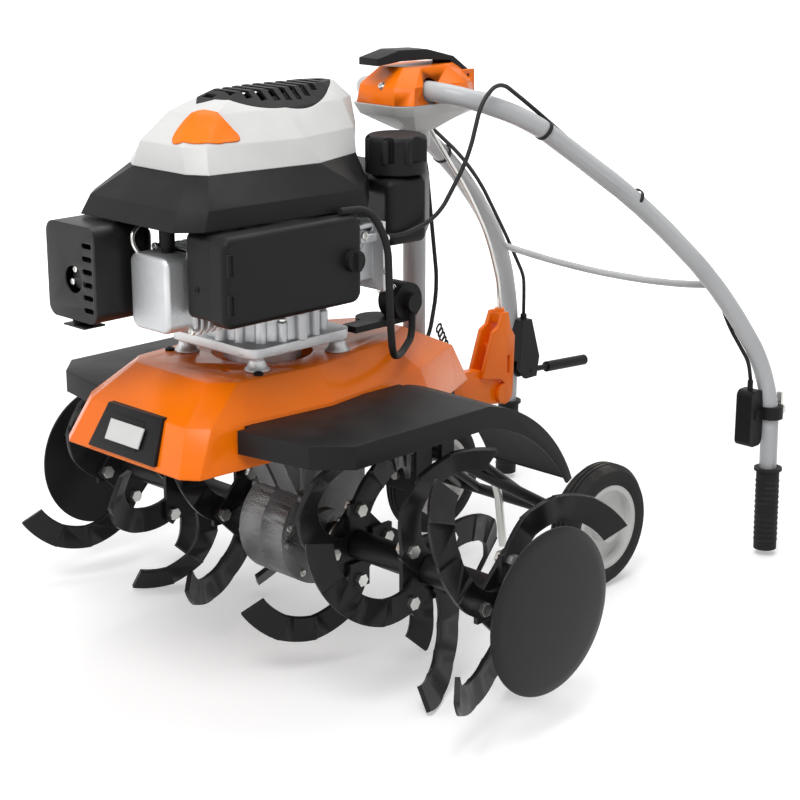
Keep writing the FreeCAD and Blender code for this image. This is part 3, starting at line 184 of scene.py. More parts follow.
def build_soft_edge() -> bpy.types.NodeTree:
    """Builds the group that rounds edges and finds where they are rubbed."""
    net, given, made = new_group(
        "SoftEdge",
        [("Radius", 0.002), ("Wear", 0.5)],
        [("Normal", "NodeSocketVector"), ("Mask", "NodeSocketFloat")],
    )
    bevel = net.node("ShaderNodeBevel", samples=4)
    net.feed(bevel.inputs["Radius"], given.outputs["Radius"])
    flat = net.node("ShaderNodeNewGeometry").outputs["Normal"]
    agree = net.vector("DOT_PRODUCT", bevel.outputs[0], flat).outputs["Value"]
    edge = net.spread(agree, 0.99, 0.88)
    here = net.node("ShaderNodeTexCoord").outputs["Object"]
    patches = net.spread(net.noise(here, 55.0, 5.0), 0.46, 0.62)
    rubbed = net.math("MULTIPLY", net.math("MULTIPLY", edge, patches), given.outputs["Wear"], clamp=True)
    net.feed(made.inputs["Normal"], bevel.outputs[0])
    net.feed(made.inputs["Mask"], rubbed)
    return net.tree


def build_grain() -> bpy.types.NodeTree:
    """Builds the group for a moulded or cast surface's fine grain and slow waves."""
    net, given, made = new_group(
        "Grain",
        [("Size", 900.0), ("Pits", 0.0)],
        [("Height", "NodeSocketFloat"), ("Tone", "NodeSocketFloat")],
    )
    here = net.node("ShaderNodeTexCoord").outputs["Object"]
    fine = net.noise(here, given.outputs["Size"], 4.0)
    cells = net.node("ShaderNodeTexVoronoi", feature="SMOOTH_F1")
    net.feed(cells.inputs["Vector"], here)
    net.feed(cells.inputs["Scale"], given.outputs["Size"])
    pitted = net.math("MULTIPLY", cells.outputs["Distance"], given.outputs["Pits"])
    slow = net.noise(here, 9.0, 3.0)
    net.feed(made.inputs["Height"], net.math("ADD", fine, pitted))
    net.feed(made.inputs["Tone"], net.spread(slow, 0.3, 0.7))
    return net.tree


def build_dust() -> bpy.types.NodeTree:
    """Builds the group that settles dust in blown patches on what faces up."""
    net, given, made = new_group(
        "Dust", [("Amount", 0.2)], [("Mask", "NodeSocketFloat")]
    )
    here = net.node("ShaderNodeTexCoord").outputs["Object"]
    apart = net.node("ShaderNodeSeparateXYZ")
    net.feed(apart.inputs[0], net.node("ShaderNodeNewGeometry").outputs["Normal"])
    facing = net.spread(apart.outputs["Z"], 0.1, 1.0)
    blown = net.spread(net.noise(here, 22.0, 6.0), 0.4, 0.75)
    lying = net.math("MULTIPLY", facing, blown)
    net.feed(made.inputs["Mask"], net.math("MULTIPLY", lying, given.outputs["Amount"], clamp=True))
    return net.tree


def build_drawn() -> bpy.types.NodeTree:
    """Builds the group for fine lines left by drawing, turning or milling."""
    net, given, made = new_group(
        "DrawnLines",
        [("Along X", 1.0), ("Along Y", 1.0), ("Along Z", 1.0)],
        [("Height", "NodeSocketFloat")],
    )
    here = net.node("ShaderNodeTexCoord").outputs["Object"]
    stretch = net.node("ShaderNodeCombineXYZ")
    for socket, label in zip(stretch.inputs, ("Along X", "Along Y", "Along Z")):
        net.feed(socket, given.outputs[label])
    lines = net.vector("MULTIPLY", here, stretch.outputs[0]).outputs["Vector"]
    net.feed(made.inputs["Height"], net.noise(lines, 260.0, 2.0))
    return net.tree


# --------------------------------------------------------------------------
# Finishes
# --------------------------------------------------------------------------


class Surface(Enum):
    """How a finish's surface was made."""

    MOULDED = "moulded"
    CAST = "cast"
    DRAWN = "drawn"
    SPRAYED = "sprayed"


@dataclass(frozen=True)
class Finish:
    """One finish of the machine.

    Attributes:
        slot: The record's material slot.
        colour: The clean surface.
        shade: The same surface where it is a little darker or duller.
        surface: How it was made.
        roughness: The clean surface's roughness.
        metallic: 1 for bare metal.
        coat: Clear coat weight.
        grain: Grain cells per metre.
        depth: Grain height, in metres.
        pits: How strongly the grain is pitted.
        edge: Radius of the soft edges.
        wear: How much the edges are rubbed.
        under: The colour that shows at rubbed edges.
        dust: How much dust lies on it.
        lines: Stretch of the drawn lines along X, Y and Z.
        gloss: How strongly an unplated surface mirrors.
    """

    slot: str
    colour: Colour
    shade: Colour
    surface: Surface = Surface.MOULDED
    roughness: float = 0.45
    metallic: float = 0.0
    coat: float = 0.0
    grain: float = 900.0
    depth: float = 0.00012
    pits: float = 0.0
    edge: float = 0.0015
    wear: float = 0.35
    under: Colour = (0.5, 0.5, 0.5)
    dust: float = 0.12
    lines: Point = (1.0, 1.0, 1.0)
    gloss: float = 0.14

    def material(self) -> bpy.types.Material:
        """Builds the finish's material, and takes the slot's name over from the frame's plain one."""
        plain = bpy.data.materials.get(self.slot)
        if plain is not None:
            plain.name = f"{self.slot}_plain"
        made = bpy.data.materials.new(self.slot)
        made.use_nodes = True
        made.diffuse_color = (*self.colour, 1.0)
        net = Net(made.node_tree)
        shader = made.node_tree.nodes["Principled BSDF"]
        edge = self.group(net, "SoftEdge", Radius=self.edge, Wear=self.wear)
        grain = self.group(net, "Grain", Size=self.grain, Pits=self.pits)
        dust = self.group(net, "Dust", Amount=self.dust)
        toned = net.mix(grain.outputs["Tone"], (*self.shade, 1.0), (*self.colour, 1.0))
        rubbed = net.mix(edge.outputs["Mask"], toned, (*self.under, 1.0))
        dusty = net.mix(dust.outputs["Mask"], rubbed, (0.42, 0.38, 0.33, 1.0))
        net.feed(shader.inputs["Base Color"], dusty)
        uneven = net.math("MULTIPLY_ADD", grain.outputs["Tone"], -0.12, self.roughness + 0.07)
        dulled = net.math("MULTIPLY_ADD", dust.outputs["Mask"], 0.35, uneven, clamp=True)
        net.feed(shader.inputs["Roughness"], dulled)
        shader.inputs["Metallic"].default_value = self.metallic
        shader.inputs["Coat Weight"].default_value = self.coat
        shader.inputs["Coat Roughness"].default_value = 0.12
        if self.metallic < 0.5:
            shader.inputs["Specular IOR Level"].default_value = self.gloss
        bump = net.node("ShaderNodeBump")
        bump.inputs["Strength"].default_value = 1.0
        bump.inputs["Distance"].default_value = self.depth
        net.feed(bump.inputs["Height"], self.height(net, grain))
        net.feed(bump.inputs["Normal"], edge.outputs["Normal"])
        net.feed(shader.inputs["Normal"], bump.outputs[0])
        return made

    def group(self, net: Net, name: str, **values: float) -> bpy.types.Node:
        """Places a shared group with this finish's own values."""
        placed = net.node("ShaderNodeGroup", node_tree=bpy.data.node_groups[name])
        for label, value in values.items():
            placed.inputs[label].default_value = value
        return placed

    def height(self, net: Net, grain: bpy.types.Node) -> bpy.types.NodeSocket:
        """Returns the bump height, with drawn lines where the metal has them."""
        if self.surface is not Surface.DRAWN:
            return grain.outputs["Height"]
        drawn = net.node("ShaderNodeGroup", node_tree=bpy.data.node_groups["DrawnLines"])
        for socket, value in zip(drawn.inputs, self.lines):
            socket.default_value = value
        return net.math("ADD", grain.outputs["Height"], drawn.outputs["Height"])


FINISHES = (
    Finish("plastic_black", (0.009, 0.009, 0.0095), (0.013, 0.013, 0.0135), roughness=0.46, wear=0.15,
           under=(0.04, 0.04, 0.04), dust=0.02),
    Finish("plastic_pale", (0.66, 0.66, 0.65), (0.61, 0.61, 0.6), roughness=0.36, under=(0.72, 0.72, 0.71)),
    Finish("plastic_orange", (0.95, 0.195, 0.001), (0.88, 0.165, 0.001), roughness=0.33, coat=0.04,
           gloss=0.22, edge=0.002,
           depth=0.00003, wear=0.1, under=(0.88, 0.22, 0.03), dust=0.02),
    Finish("deck_orange", (0.95, 0.19, 0.001), (0.87, 0.155, 0.001), Surface.SPRAYED, roughness=0.27,
           coat=0.08, gloss=0.22,
           grain=260.0, depth=0.00004, edge=0.003, wear=0.12, under=(0.6, 0.16, 0.03), dust=0.03),
    Finish("painted_steel_black", (0.009, 0.009, 0.0095), (0.013, 0.013, 0.014), Surface.SPRAYED,
           roughness=0.36,
           coat=0.02, gloss=0.2, grain=480.0, depth=0.00008, wear=0.35, under=(0.09, 0.085, 0.08), dust=0.03),
    Finish("painted_steel_grey", (0.53, 0.54, 0.55), (0.47, 0.48, 0.49), Surface.SPRAYED,
           roughness=0.3, coat=0.35,
           grain=600.0, depth=0.00005, wear=0.4, under=(0.36, 0.36, 0.36)),
    Finish("bright_zinc", (0.72, 0.72, 0.7), (0.6, 0.6, 0.57), Surface.DRAWN, roughness=0.3, metallic=1.0,
           edge=0.0006, depth=0.00004, lines=(0.2, 1.0, 1.0), under=(0.8, 0.8, 0.8)),
    Finish("machined_steel", (0.5, 0.5, 0.5), (0.4, 0.4, 0.39), Surface.DRAWN, roughness=0.33, metallic=1.0,
           edge=0.0006, depth=0.00005, lines=(1.0, 3.0, 1.0), under=(0.7, 0.7, 0.7)),
    Finish("cast_aluminium", (0.62, 0.63, 0.64), (0.5, 0.51, 0.52), Surface.CAST, roughness=0.46,
           metallic=0.85,
           grain=520.0, depth=0.00035, pits=0.7, edge=0.002, wear=0.8, under=(0.8, 0.8, 0.8)),
    Finish("gearcase_casting", (0.2, 0.2, 0.2), (0.14, 0.14, 0.14), Surface.CAST, roughness=0.5,
           metallic=0.75,
           grain=420.0, depth=0.0006, pits=1.0, edge=0.002, wear=0.9, under=(0.5, 0.5, 0.5), dust=0.1),
    Finish("worm_bronze", (0.6, 0.38, 0.17), (0.5, 0.3, 0.12), Surface.DRAWN, roughness=0.35, metallic=1.0),
    Finish("belt_rubber", (0.016, 0.016, 0.017), (0.026, 0.026, 0.026), roughness=0.68, grain=1400.0,
           under=(0.05, 0.05, 0.05)),
    Finish("grip_rubber", (0.012, 0.012, 0.013), (0.02, 0.02, 0.02), roughness=0.6, grain=1100.0, pits=0.8,
           depth=0.0003, under=(0.06, 0.06, 0.06)),
    Finish("tyre_rubber", (0.02, 0.02, 0.021), (0.033, 0.032, 0.031), roughness=0.74, grain=700.0, pits=0.5,
           depth=0.0003, under=(0.08, 0.08, 0.08), dust=0.3),
    Finish("cable_sheath", (0.018, 0.018, 0.019), (0.028, 0.028, 0.028), roughness=0.4, grain=1500.0,
           edge=0.0004, under=(0.06, 0.06, 0.06)),
)


# --------------------------------------------------------------------------
# Shaping
# --------------------------------------------------------------------------


def axle_ahead() -> float:
    """Returns how far the tine axle stands ahead of the frame's origin."""
    low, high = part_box("tine_shaft")
    return (low.x + high.x) / 2


AHEAD = axle_ahead()
UP = Vector((0, 0, 1))
FORWARD = Vector((1, 0, 0))
SIDE_NAMES = {1: "left", -1: "right"}
EDGE_STEPS = 3
DECK_LEVEL = 395.5
CRANK_AHEAD = 58
POST_SPREAD = 65


def place(x: float, y: float, z: float) -> Vector:
    """Turns a place measured from the axle, in mm, into the frame's metres."""
    return Vector((x / 1000 + AHEAD, y / 1000, z / 1000))


def still() -> None:
    """Leaves edit mode and deselects everything."""
    if bpy.context.object and bpy.context.object.mode != "OBJECT":
        bpy.ops.object.mode_set(mode="OBJECT")
    bpy.ops.object.select_all(action="DESELECT")


def pick(piece: bpy.types.Object, chosen: Callable[[bmesh.types.BMFace], bool]) -> None:
    """Selects the faces of a piece in edit mode for which chosen is true."""
    bpy.ops.mesh.select_mode(type="FACE")
    bpy.ops.mesh.select_all(action="DESELECT")
    mesh = bmesh.from_edit_mesh(piece.data)
    for face in mesh.faces:
        face.select_set(bool(chosen(face)))
    bmesh.update_edit_mesh(piece.data)


def settle(piece: bpy.types.Object, name: str, angle: float = 35.0) -> bpy.types.Object:
    """Applies a piece's modifiers and place, and shades it.

    Args:
        piece: The shaped object.
        name: The name it keeps.
        angle: Edges sharper than this many degrees stay sharp.

    Returns:
        The same object, at the origin.
    """
    still()
    piece.select_set(True)
    bpy.context.view_layer.objects.active = piece
    if piece.type != "MESH":
        bpy.ops.object.convert(target="MESH")
        piece = bpy.context.object
    for modifier in list(piece.modifiers):
        bpy.ops.object.modifier_apply(modifier=modifier.name)
    bpy.ops.object.transform_apply(location=True, rotation=True, scale=True)
    bpy.ops.object.mode_set(mode="EDIT")
    bpy.ops.mesh.select_all(action="SELECT")
    bpy.ops.mesh.remove_doubles(threshold=0.00001)
    bpy.ops.mesh.normals_make_consistent(inside=False)
    bpy.ops.object.mode_set(mode="OBJECT")
    bpy.ops.object.shade_smooth_by_angle(angle=math.radians(angle))
    piece.name = name
    piece.data.name = name
    still()
    return piece


def finished(piece: bpy.types.Object, slot: str, body: str, finish: str = "") -> bpy.types.Object:
    """Gives a piece its finish and its body.

    Args:
        piece: The settled object.
        slot: The material slot it takes its finish from.
        body: The CAD body it rides on.
        finish: Another finish's name, where the piece's own differs from the slot's.

    Returns:
        The same object.
    """
    piece.data.materials.clear()
    piece.data.materials.append(bpy.data.materials[finish or slot])
    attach(piece, body)
    LOG.info("%s rides on %s in %s", piece.name, body, slot)
    return piece


# --------------------------------------------------------------------------
# Small pieces
# --------------------------------------------------------------------------


def stand(piece: bpy.types.Object, at: Vector, axis: Vector) -> None:
    """Puts a piece at a place, with its own Z along an axis."""
    piece.rotation_mode = "QUATERNION"
    piece.rotation_quaternion = axis.to_track_quat("Z", "Y")
    piece.location = at


def tube(name: str, points: Sequence[Vector], radius: float) -> bpy.types.Object:
    """Runs a round tube smoothly along points.

    Args:
        name: The piece's name.
        points: The places its middle passes.
        radius: The tube's radius.

    Returns:
        The settled tube.
    """
    still()
    curve = bpy.data.curves.new(name, "CURVE")
    curve.dimensions = "3D"
    curve.bevel_depth = radius
    curve.bevel_resolution = 3
    curve.resolution_u = 8
    curve.use_fill_caps = True
    spline = curve.splines.new("NURBS")
    spline.points.add(len(points) - 1)
    for held, point in zip(spline.points, points):
        held.co = (*point, 1.0)
    spline.order_u = 3
    spline.use_endpoint_u = True
    made = bpy.data.objects.new(name, curve)
    bpy.context.scene.collection.objects.link(made)
    return settle(made, name, 60)


def turned(
    name: str, at: Vector, axis: Vector, profile: Sequence[tuple[float, float]], sides: int = 32
) -> bpy.types.Object:
    """Spins a profile into a solid.

    Args:
        name: The piece's name.
        at: Where the profile's zero height lies.
        axis: The way it is turned about.
        profile: Radius and height pairs, both ends at radius zero.
        sides: Facets round.

    Returns:
        The settled solid.
    """
    still()
    bpy.ops.mesh.primitive_circle_add(vertices=sides, radius=max(profile[1][0], 0.0001), fill_type="NOTHING")
    made = bpy.context.object
    bpy.ops.object.mode_set(mode="EDIT")
    bpy.ops.mesh.select_all(action="SELECT")
    bpy.ops.transform.translate(value=(0, 0, profile[1][1]))
    before, level = max(profile[1][0], 0.0001), profile[1][1]
    bpy.ops.mesh.select_mode(type="EDGE")
    for radius, height in profile[2:-1]:
        bpy.ops.mesh.extrude_region_move(TRANSFORM_OT_translate={"value": (0, 0, height - level)})
        scale = radius / before
        bpy.ops.transform.resize(value=(scale, scale, 1), center_override=(0, 0, height))
        before, level = radius, height
    bpy.ops.mesh.select_mode(type="VERT")
    bpy.ops.mesh.select_all(action="DESELECT")
    mesh = bmesh.from_edit_mesh(made.data)
    for edge in mesh.edges:
        edge.select_set(edge.is_boundary)
    mesh.select_flush(True)
    bmesh.update_edit_mesh(made.data)
    bpy.ops.mesh.fill_holes(sides=0)
    bpy.ops.object.mode_set(mode="OBJECT")
    stand(made, at, axis)
    return settle(made, name, 35)


def screw_head(name: str, at: Vector, axis: Vector, radius: float) -> bpy.types.Object:
    """Models a domed screw head with a round socket sunk in it."""
    still()
    bpy.ops.mesh.primitive_cylinder_add(vertices=24, radius=radius, depth=radius * 0.7)
    made = bpy.context.object
    bpy.ops.object.mode_set(mode="EDIT")
    pick(made, lambda face: face.normal.z > 0.9)
    bpy.ops.mesh.inset(thickness=radius * 0.25, depth=radius * 0.16)
    bpy.ops.mesh.inset(thickness=radius * 0.28, depth=0)
    bpy.ops.mesh.inset(thickness=radius * 0.03, depth=-radius * 0.4)
    bpy.ops.object.mode_set(mode="OBJECT")
    stand(made, at, axis)
    return settle(made, name)


def band(name: str, at: Vector, axis: Vector, radius: float, width: float, thick: float) -> bpy.types.Object:
    """Models a tie ring round a tube, with its lock head to one side."""
    still()
    bpy.ops.mesh.primitive_cylinder_add(vertices=28, radius=radius + thick, depth=width, end_fill_type="NGON")
    made = bpy.context.object
    bpy.ops.object.mode_set(mode="EDIT")
    pick(made, lambda face: abs(face.normal.z) > 0.9)
    bpy.ops.mesh.inset(thickness=thick, depth=0)
    bpy.ops.mesh.bridge_edge_loops()
    pick(made, lambda face: face.normal.x > 0.95 and face.calc_center_median().x > radius)
    bpy.ops.mesh.extrude_region_move(TRANSFORM_OT_translate={"value": (thick * 2.4, 0, 0)})
    bpy.ops.object.mode_set(mode="OBJECT")
    stand(made, at, axis)
    return settle(made, name)


def softened(node: str, width: float, crease: float = 12.0, smooth: float = 52.0) -> bpy.types.Object:
    """Copies a frame node and rounds its edges.

    Args:
        node: The frame node it stands for.
        width: How wide the rounded edges are, in metres, or 0 for none.
        crease: Edges flatter than this many degrees are left alone.
        smooth: Edges flatter than this many degrees are shaded smooth.

    Returns:
        The settled copy, which replaces the node.
    """
    still()
    made = frame["nodes"][node].copy()
    made.data = frame["nodes"][node].data.copy()
    made.parent = None
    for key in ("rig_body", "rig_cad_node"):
        del made[key]
    bpy.context.scene.collection.objects.link(made)
    made.select_set(True)
    bpy.context.view_layer.objects.active = made
    bpy.ops.object.mode_set(mode="EDIT")
    bpy.ops.mesh.select_all(action="SELECT")
    bpy.ops.mesh.remove_doubles(threshold=0.00002)
    bpy.ops.mesh.dissolve_limited(angle_limit=math.radians(2.0))
    bpy.ops.object.mode_set(mode="OBJECT")
    if width > 0:
        edge = made.modifiers.new("RoundEdges", "BEVEL")
        edge.width = width
        edge.segments = EDGE_STEPS
        edge.limit_method = "ANGLE"
        edge.angle_limit = math.radians(crease)
        edge.use_clamp_overlap = True
    settle(made, f"{node}_shell", smooth)
    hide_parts(node)
    return made


def body_of(node: str) -> str:
    """Returns the body that a frame node belongs to."""
    return frame["nodes"][node]["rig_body"]


def slot_of(node: str) -> str:
    """Returns the material slot of a frame node."""
    return next(part["material_slot"] for part in frame["record"]["subparts"] if part["node"] == node)


def laid_on(piece: bpy.types.Object, under: bpy.types.Object, lift: float, thick: float) -> None:
    """Lays a flat piece on a shell from above, and gives it a thickness.

    Args:
        piece: The flat piece, over the shell.
        under: The shell it follows.
        lift: How far it stands off the shell.
        thick: Its thickness.
    """
    wrap = piece.modifiers.new("LaidOn", "SHRINKWRAP")
    wrap.target = under
    wrap.wrap_method = "PROJECT"
    wrap.use_project_z = True
    wrap.use_negative_direction = True
    wrap.use_positive_direction = False
    wrap.offset = lift
    wall = piece.modifiers.new("Wall", "SOLIDIFY")
    wall.thickness = thick
    wall.offset = 1.0


# --------------------------------------------------------------------------
# Sub-assemblies
# --------------------------------------------------------------------------


@dataclass
class SubAssembly:
    """A group of pieces that is dressed and fitted out together."""

    def nodes(self) -> tuple[str, ...]:
        """Names the frame nodes this group dresses."""
        return ()

    def shells(self) -> dict[str, float]:
        """Names the nodes whose edges are rounded, each with its edge width."""
        return {}

    def creases(self) -> dict[str, float]:
        """Names the nodes whose gentle folds stay smooth, each with its crease angle in degrees."""
        return {}

    def build(self) -> None:
        """Rounds the group's shells."""
        for node, width in self.shells().items():
            shell = softened(node, width, crease=self.creases().get(node, 12.0))
            finished(shell, slot_of(node), body_of(node), self.special().get(node, ""))

    def special(self) -> dict[str, str]:
        """Names the nodes that have a finish of their own."""
        return {}

    def dress(self) -> None:
        """Gives each of the group's nodes the finish of its material slot."""
        slots = {part["node"]: part["material_slot"] for part in frame["record"]["subparts"]}
        for name in self.nodes():
            mesh = frame["nodes"][name].data
            mesh.materials.clear()
            mesh.materials.append(bpy.data.materials[slots[name]])
            LOG.info("%s finished in %s", name, slots[name])


@dataclass
class Rotor(SubAssembly):
    """The tine axle with its hubs, knives and side discs."""

    disc_radius: float = 0.1
    disc_face: float = 0.4245
    case_bolt_ring: float = 0.058
    case_bolt: float = 0.0045

    def shells(self) -> dict[str, float]:
        """Rounds the knives, hubs and the cast halves."""
        return {"knives": 0.0007, "tine_hubs": 0.0006, "gearbox_left": 0.002, "gearbox_right": 0.002}

    def creases(self) -> dict[str, float]:
        """Keeps the folds of the knives smooth, so that each reads as one curl."""
        return {"knives": 24.0}

    def special(self) -> dict[str, str]:
        """Gives the worm case its darker casting."""
        return {"gearbox_left": "gearcase_casting", "gearbox_right": "gearcase_casting"}

    def build(self) -> None:
        """Rounds the shells, then adds the side discs and the case bolts."""
        super().build()
        for side in (1, -1):
            self.disc(side)
            self.case_bolts(side)

    def disc(self, side: int) -> None:
        """Spins one dished side disc with a rolled rim."""
        rim = self.disc_radius
        profile = [
            (0, 0), (rim * 0.12, 0), (rim * 0.5, -0.0006), (rim * 0.86, -0.0022), (rim * 0.97, -0.0038),
            (rim * 0.995, -0.0052), (rim, -0.0066), (rim * 0.99, -0.0078), (rim * 0.95, -0.0072),
            (rim * 0.84, -0.0052), (rim * 0.5, -0.0036), (rim * 0.12, -0.003), (0, -0.003),
        ]
        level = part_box("side_discs")[1].z - rim
        at = Vector((AHEAD, side * self.disc_face, level))
        made = turned(f"side_disc_{SIDE_NAMES[side]}", at, Vector((0, side, 0)), profile, 72)
        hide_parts("side_discs")
        finished(made, "painted_steel_black", "rotor")

    def case_bolts(self, side: int) -> None:
        """Sets a ring of bolts in one side of the worm case."""
        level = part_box("side_discs")[1].z - self.disc_radius
        for step in range(5):
            turn = math.radians(18 + 72 * step)
            at = Vector((AHEAD + self.case_bolt_ring * math.cos(turn), side * 0.0405,
                         level + self.case_bolt_ring * math.sin(turn)))
            name = f"case_bolt_{SIDE_NAMES[side]}_{step + 1}"
            finished(screw_head(name, at, Vector((0, side, 0)), self.case_bolt), "bright_zinc", "frame")

    def nodes(self) -> tuple[str, ...]:
        """Names the turning pieces and the gearbox round them."""
        return (
            "tine_shaft", "tine_hubs", "knives", "side_discs", "tine_bolts", "lock_pins", "worm_wheel",
            "gearbox_left", "gearbox_right", "worm_shaft", "gearbox_bearings",
        )


@dataclass
class Deck(SubAssembly):
    """The chassis, its covers and the belt drive under them."""

    screw_radius: float = 0.006

    def shells(self) -> dict[str, float]:
        """Rounds the pressed and moulded covers."""
        return {"deck_cover": 0.008, "front_panel": 0.002, "fender_left": 0.005, "fender_right": 0.005}

    def build(self) -> None:
        """Rounds the shells, then adds the blank plate and the deck screws."""
        super().build()
        self.plate()
        for side in (1, -1):
            name = f"deck_plug_{SIDE_NAMES[side]}"
            made = screw_head(name, place(136, side * 82, DECK_LEVEL), UP, self.screw_radius)
            finished(made, "plastic_black", "frame")

    def plate(self) -> None:
        """Models the blank plate on the sloping front panel."""
        still()
        bpy.ops.mesh.primitive_cube_add(size=1, location=place(271.0, 0, 335.0))
        made = bpy.context.object
        made.scale = (0.0024, 0.062, 0.025)
        made.rotation_euler = (0, math.radians(-25.4), 0)
        bpy.ops.object.transform_apply(location=False, rotation=False, scale=True)
        bpy.ops.object.mode_set(mode="EDIT")
        pick(made, lambda face: face.normal.x > 0.9)
        bpy.ops.mesh.inset(thickness=0.0022, depth=-0.0004)
        bpy.ops.object.mode_set(mode="OBJECT")
        edge = made.modifiers.new("RoundEdges", "BEVEL")
        edge.width = 0.0006
        edge.segments = 2
        finished(settle(made, "front_plate"), "plastic_pale", "frame")

    def nodes(self) -> tuple[str, ...]:
        """Names the chassis and belt pieces."""
        return (
            "chassis_plate", "deck_cover", "front_panel", "fender_left", "fender_right", "driven_pulley",
            "engine_pulley", "drive_belt", "idler_arm", "idler_pulley",
        )


@dataclass
class Engine(SubAssembly):
    """The engine with its covers, tank, filter and exhaust."""

    def shells(self) -> dict[str, float]:
        """Rounds the engine's moulded covers."""
        return {
            "engine_shroud": 0.006, "top_cowl": 0.007, "muffler_guard": 0.002, "crankcase": 0.001,
            "valve_cover": 0.002, "fuel_tank": 0.004, "carburettor": 0.0015,
        }

    def build(self) -> None:
        """Rounds the shells, then adds the badge, lead, bolts, clips and springs."""
        super().build()
        self.badge()
        self.trim_base()
        self.feet()
        self.cap_grips()
        self.castings()
        lead = [place(190, 14, 594), place(206, 22, 592), place(219, 28, 588), place(223, 30, 574)]
        finished(tube("plug_lead", lead, 0.0035), "belt_rubber", "frame")
        for number, (y, z) in enumerate(((-3, 457), (59, 457), (-3, 547), (59, 547)), start=1):
            made = screw_head(f"valve_cover_bolt_{number}", place(214.5, y, z), FORWARD, 0.0045)
            finished(made, "bright_zinc", "frame")
        for number, (y, z) in enumerate(((-60, 523), (-66, 507)), start=1):
            made = screw_head(f"muffler_bolt_{number}", place(285.5, y, z), FORWARD, 0.0042)
            finished(made, "bright_zinc", "frame")
        stud = screw_head("filter_stud", place(230.5, 89.5, 513), FORWARD, 0.0032)
        finished(stud, "belt_rubber", "frame")
        for number, z in enumerate((547, 502), start=1):
            self.latch(number, z)
        self.link_springs()

    def trim_base(self) -> None:
        """Draws the base flange in between the four posts."""
        still()
        made = bpy.data.objects["crankcase_shell"]
        made.select_set(True)
        bpy.context.view_layer.objects.active = made
        bpy.ops.object.mode_set(mode="EDIT")
        bpy.ops.mesh.select_mode(type="VERT")
        bpy.ops.mesh.select_all(action="DESELECT")
        mesh = bmesh.from_edit_mesh(made.data)
        middle = place(CRANK_AHEAD, 0, 0)
        for vert in mesh.verts:
            span = max(abs(vert.co.x - middle.x), abs(vert.co.y))
            vert.select_set(0.410 < vert.co.z < 0.4255 and span > 0.08)
        mesh.select_flush(True)
        bmesh.update_edit_mesh(made.data)
        bpy.ops.transform.resize(value=(0.86, 0.86, 1), center_override=(middle.x, 0, 0.418))
        bpy.ops.object.mode_set(mode="OBJECT")
        still()

    def feet(self) -> None:
        """Flares the foot of each post where it stands on the deck."""
        profile = [
            (0, 0), (0.0155, 0), (0.0155, 0.0015), (0.0125, 0.0045),
            (0.0102, 0.009), (0.0096, 0.013), (0, 0.013),
        ]
        for step, (ahead, aside) in enumerate(((1, 1), (1, -1), (-1, 1), (-1, -1)), start=1):
            at = place(CRANK_AHEAD + POST_SPREAD * ahead, POST_SPREAD * aside, DECK_LEVEL)
            finished(turned(f"post_foot_{step}", at, UP, profile, 24), "cast_aluminium", "frame")

    def cap_grips(self) -> None:
        """Sets eight rounded lobes round the fuel cap, riding on its body."""
        low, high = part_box("fuel_cap")
        middle = (low + high) / 2
        reach = (high.x - low.x) / 2 - 0.0035
        tall = (high.z - low.z) * 0.62
        profile = [(0, 0), (0.0052, 0), (0.0058, 0.002), (0.0058, tall - 0.003), (0.004, tall), (0, tall)]
        for step in range(8):
            turn = math.radians(22.5 + 45 * step)
            x, y = middle.x + reach * math.cos(turn), middle.y + reach * math.sin(turn)
            at = Vector((x, y, high.z - tall - 0.004))
            lobe = turned(f"cap_lobe_{step + 1}", at, UP, profile, 16)
            finished(lobe, slot_of("fuel_cap"), body_of("fuel_cap"))

    def castings(self) -> None:
        """Sets bosses and bolts round the foot of the crankcase, and bolts on the carburettor."""
        for step in range(9):
            turn = math.radians(8 + 20 * step)
            x, y = CRANK_AHEAD + 74 * math.cos(turn), 74 * math.sin(turn)
            tall = 0.026 + 0.008 * (step % 3)
            wide = 0.0075 - 0.0012 * (step % 2)
            profile = [(0, 0), (wide, 0), (wide, tall - 0.002), (wide - 0.0015, tall), (0, tall)]
            boss = turned(f"case_boss_{step + 1}", place(x, y, 423), UP, profile, 20)
            finished(boss, "cast_aluminium", "frame")
            if step % 2:
                bolt = screw_head(f"boss_bolt_{step + 1}", place(x, y, 424 + tall * 1000), UP, 0.0045)
                finished(bolt, "bright_zinc", "frame")
        for step, (x, z) in enumerate(((-30, 540), (-30, 500), (6, 548)), start=1):
            nut = screw_head(f"carburettor_bolt_{step}", place(x, 127, z), Vector((0, 1, 0)), 0.0045)
            finished(nut, "bright_zinc", "frame")

    def badge(self) -> None:
        """Lays a bare drop-shaped badge on the side slope of the cowl."""
        still()
        bpy.ops.mesh.primitive_circle_add(vertices=32, radius=1, fill_type="NGON")
        made = bpy.context.object
        bpy.ops.object.mode_set(mode="EDIT")
        bpy.ops.mesh.select_all(action="SELECT")
        for _ in range(4):
            bpy.ops.mesh.inset(thickness=0.2)
        bpy.ops.mesh.select_all(action="SELECT")
        bpy.ops.transform.resize(value=(0.038, 0.019, 1), center_override=(0, 0, 0))
        mesh = bmesh.from_edit_mesh(made.data)
        for level in range(1, 7):
            reach = -0.036 * level / 7
            for vert in mesh.verts:
                vert.select_set(vert.co.x < reach)
            mesh.select_flush(True)
            bmesh.update_edit_mesh(made.data)
            bpy.ops.transform.resize(value=(1, 0.9, 1), center_override=(0, 0, 0))
            mesh = bmesh.from_edit_mesh(made.data)
        bpy.ops.object.mode_set(mode="OBJECT")
        made.rotation_euler = (0, 0, math.radians(-36))
        made.location = place(170, 40, 760)
        bpy.ops.object.transform_apply(location=True, rotation=True, scale=True)
        laid_on(made, bpy.data.objects["top_cowl_shell"], 0.0004, 0.0012)
        finished(settle(made, "cowl_badge"), "plastic_orange", "frame")

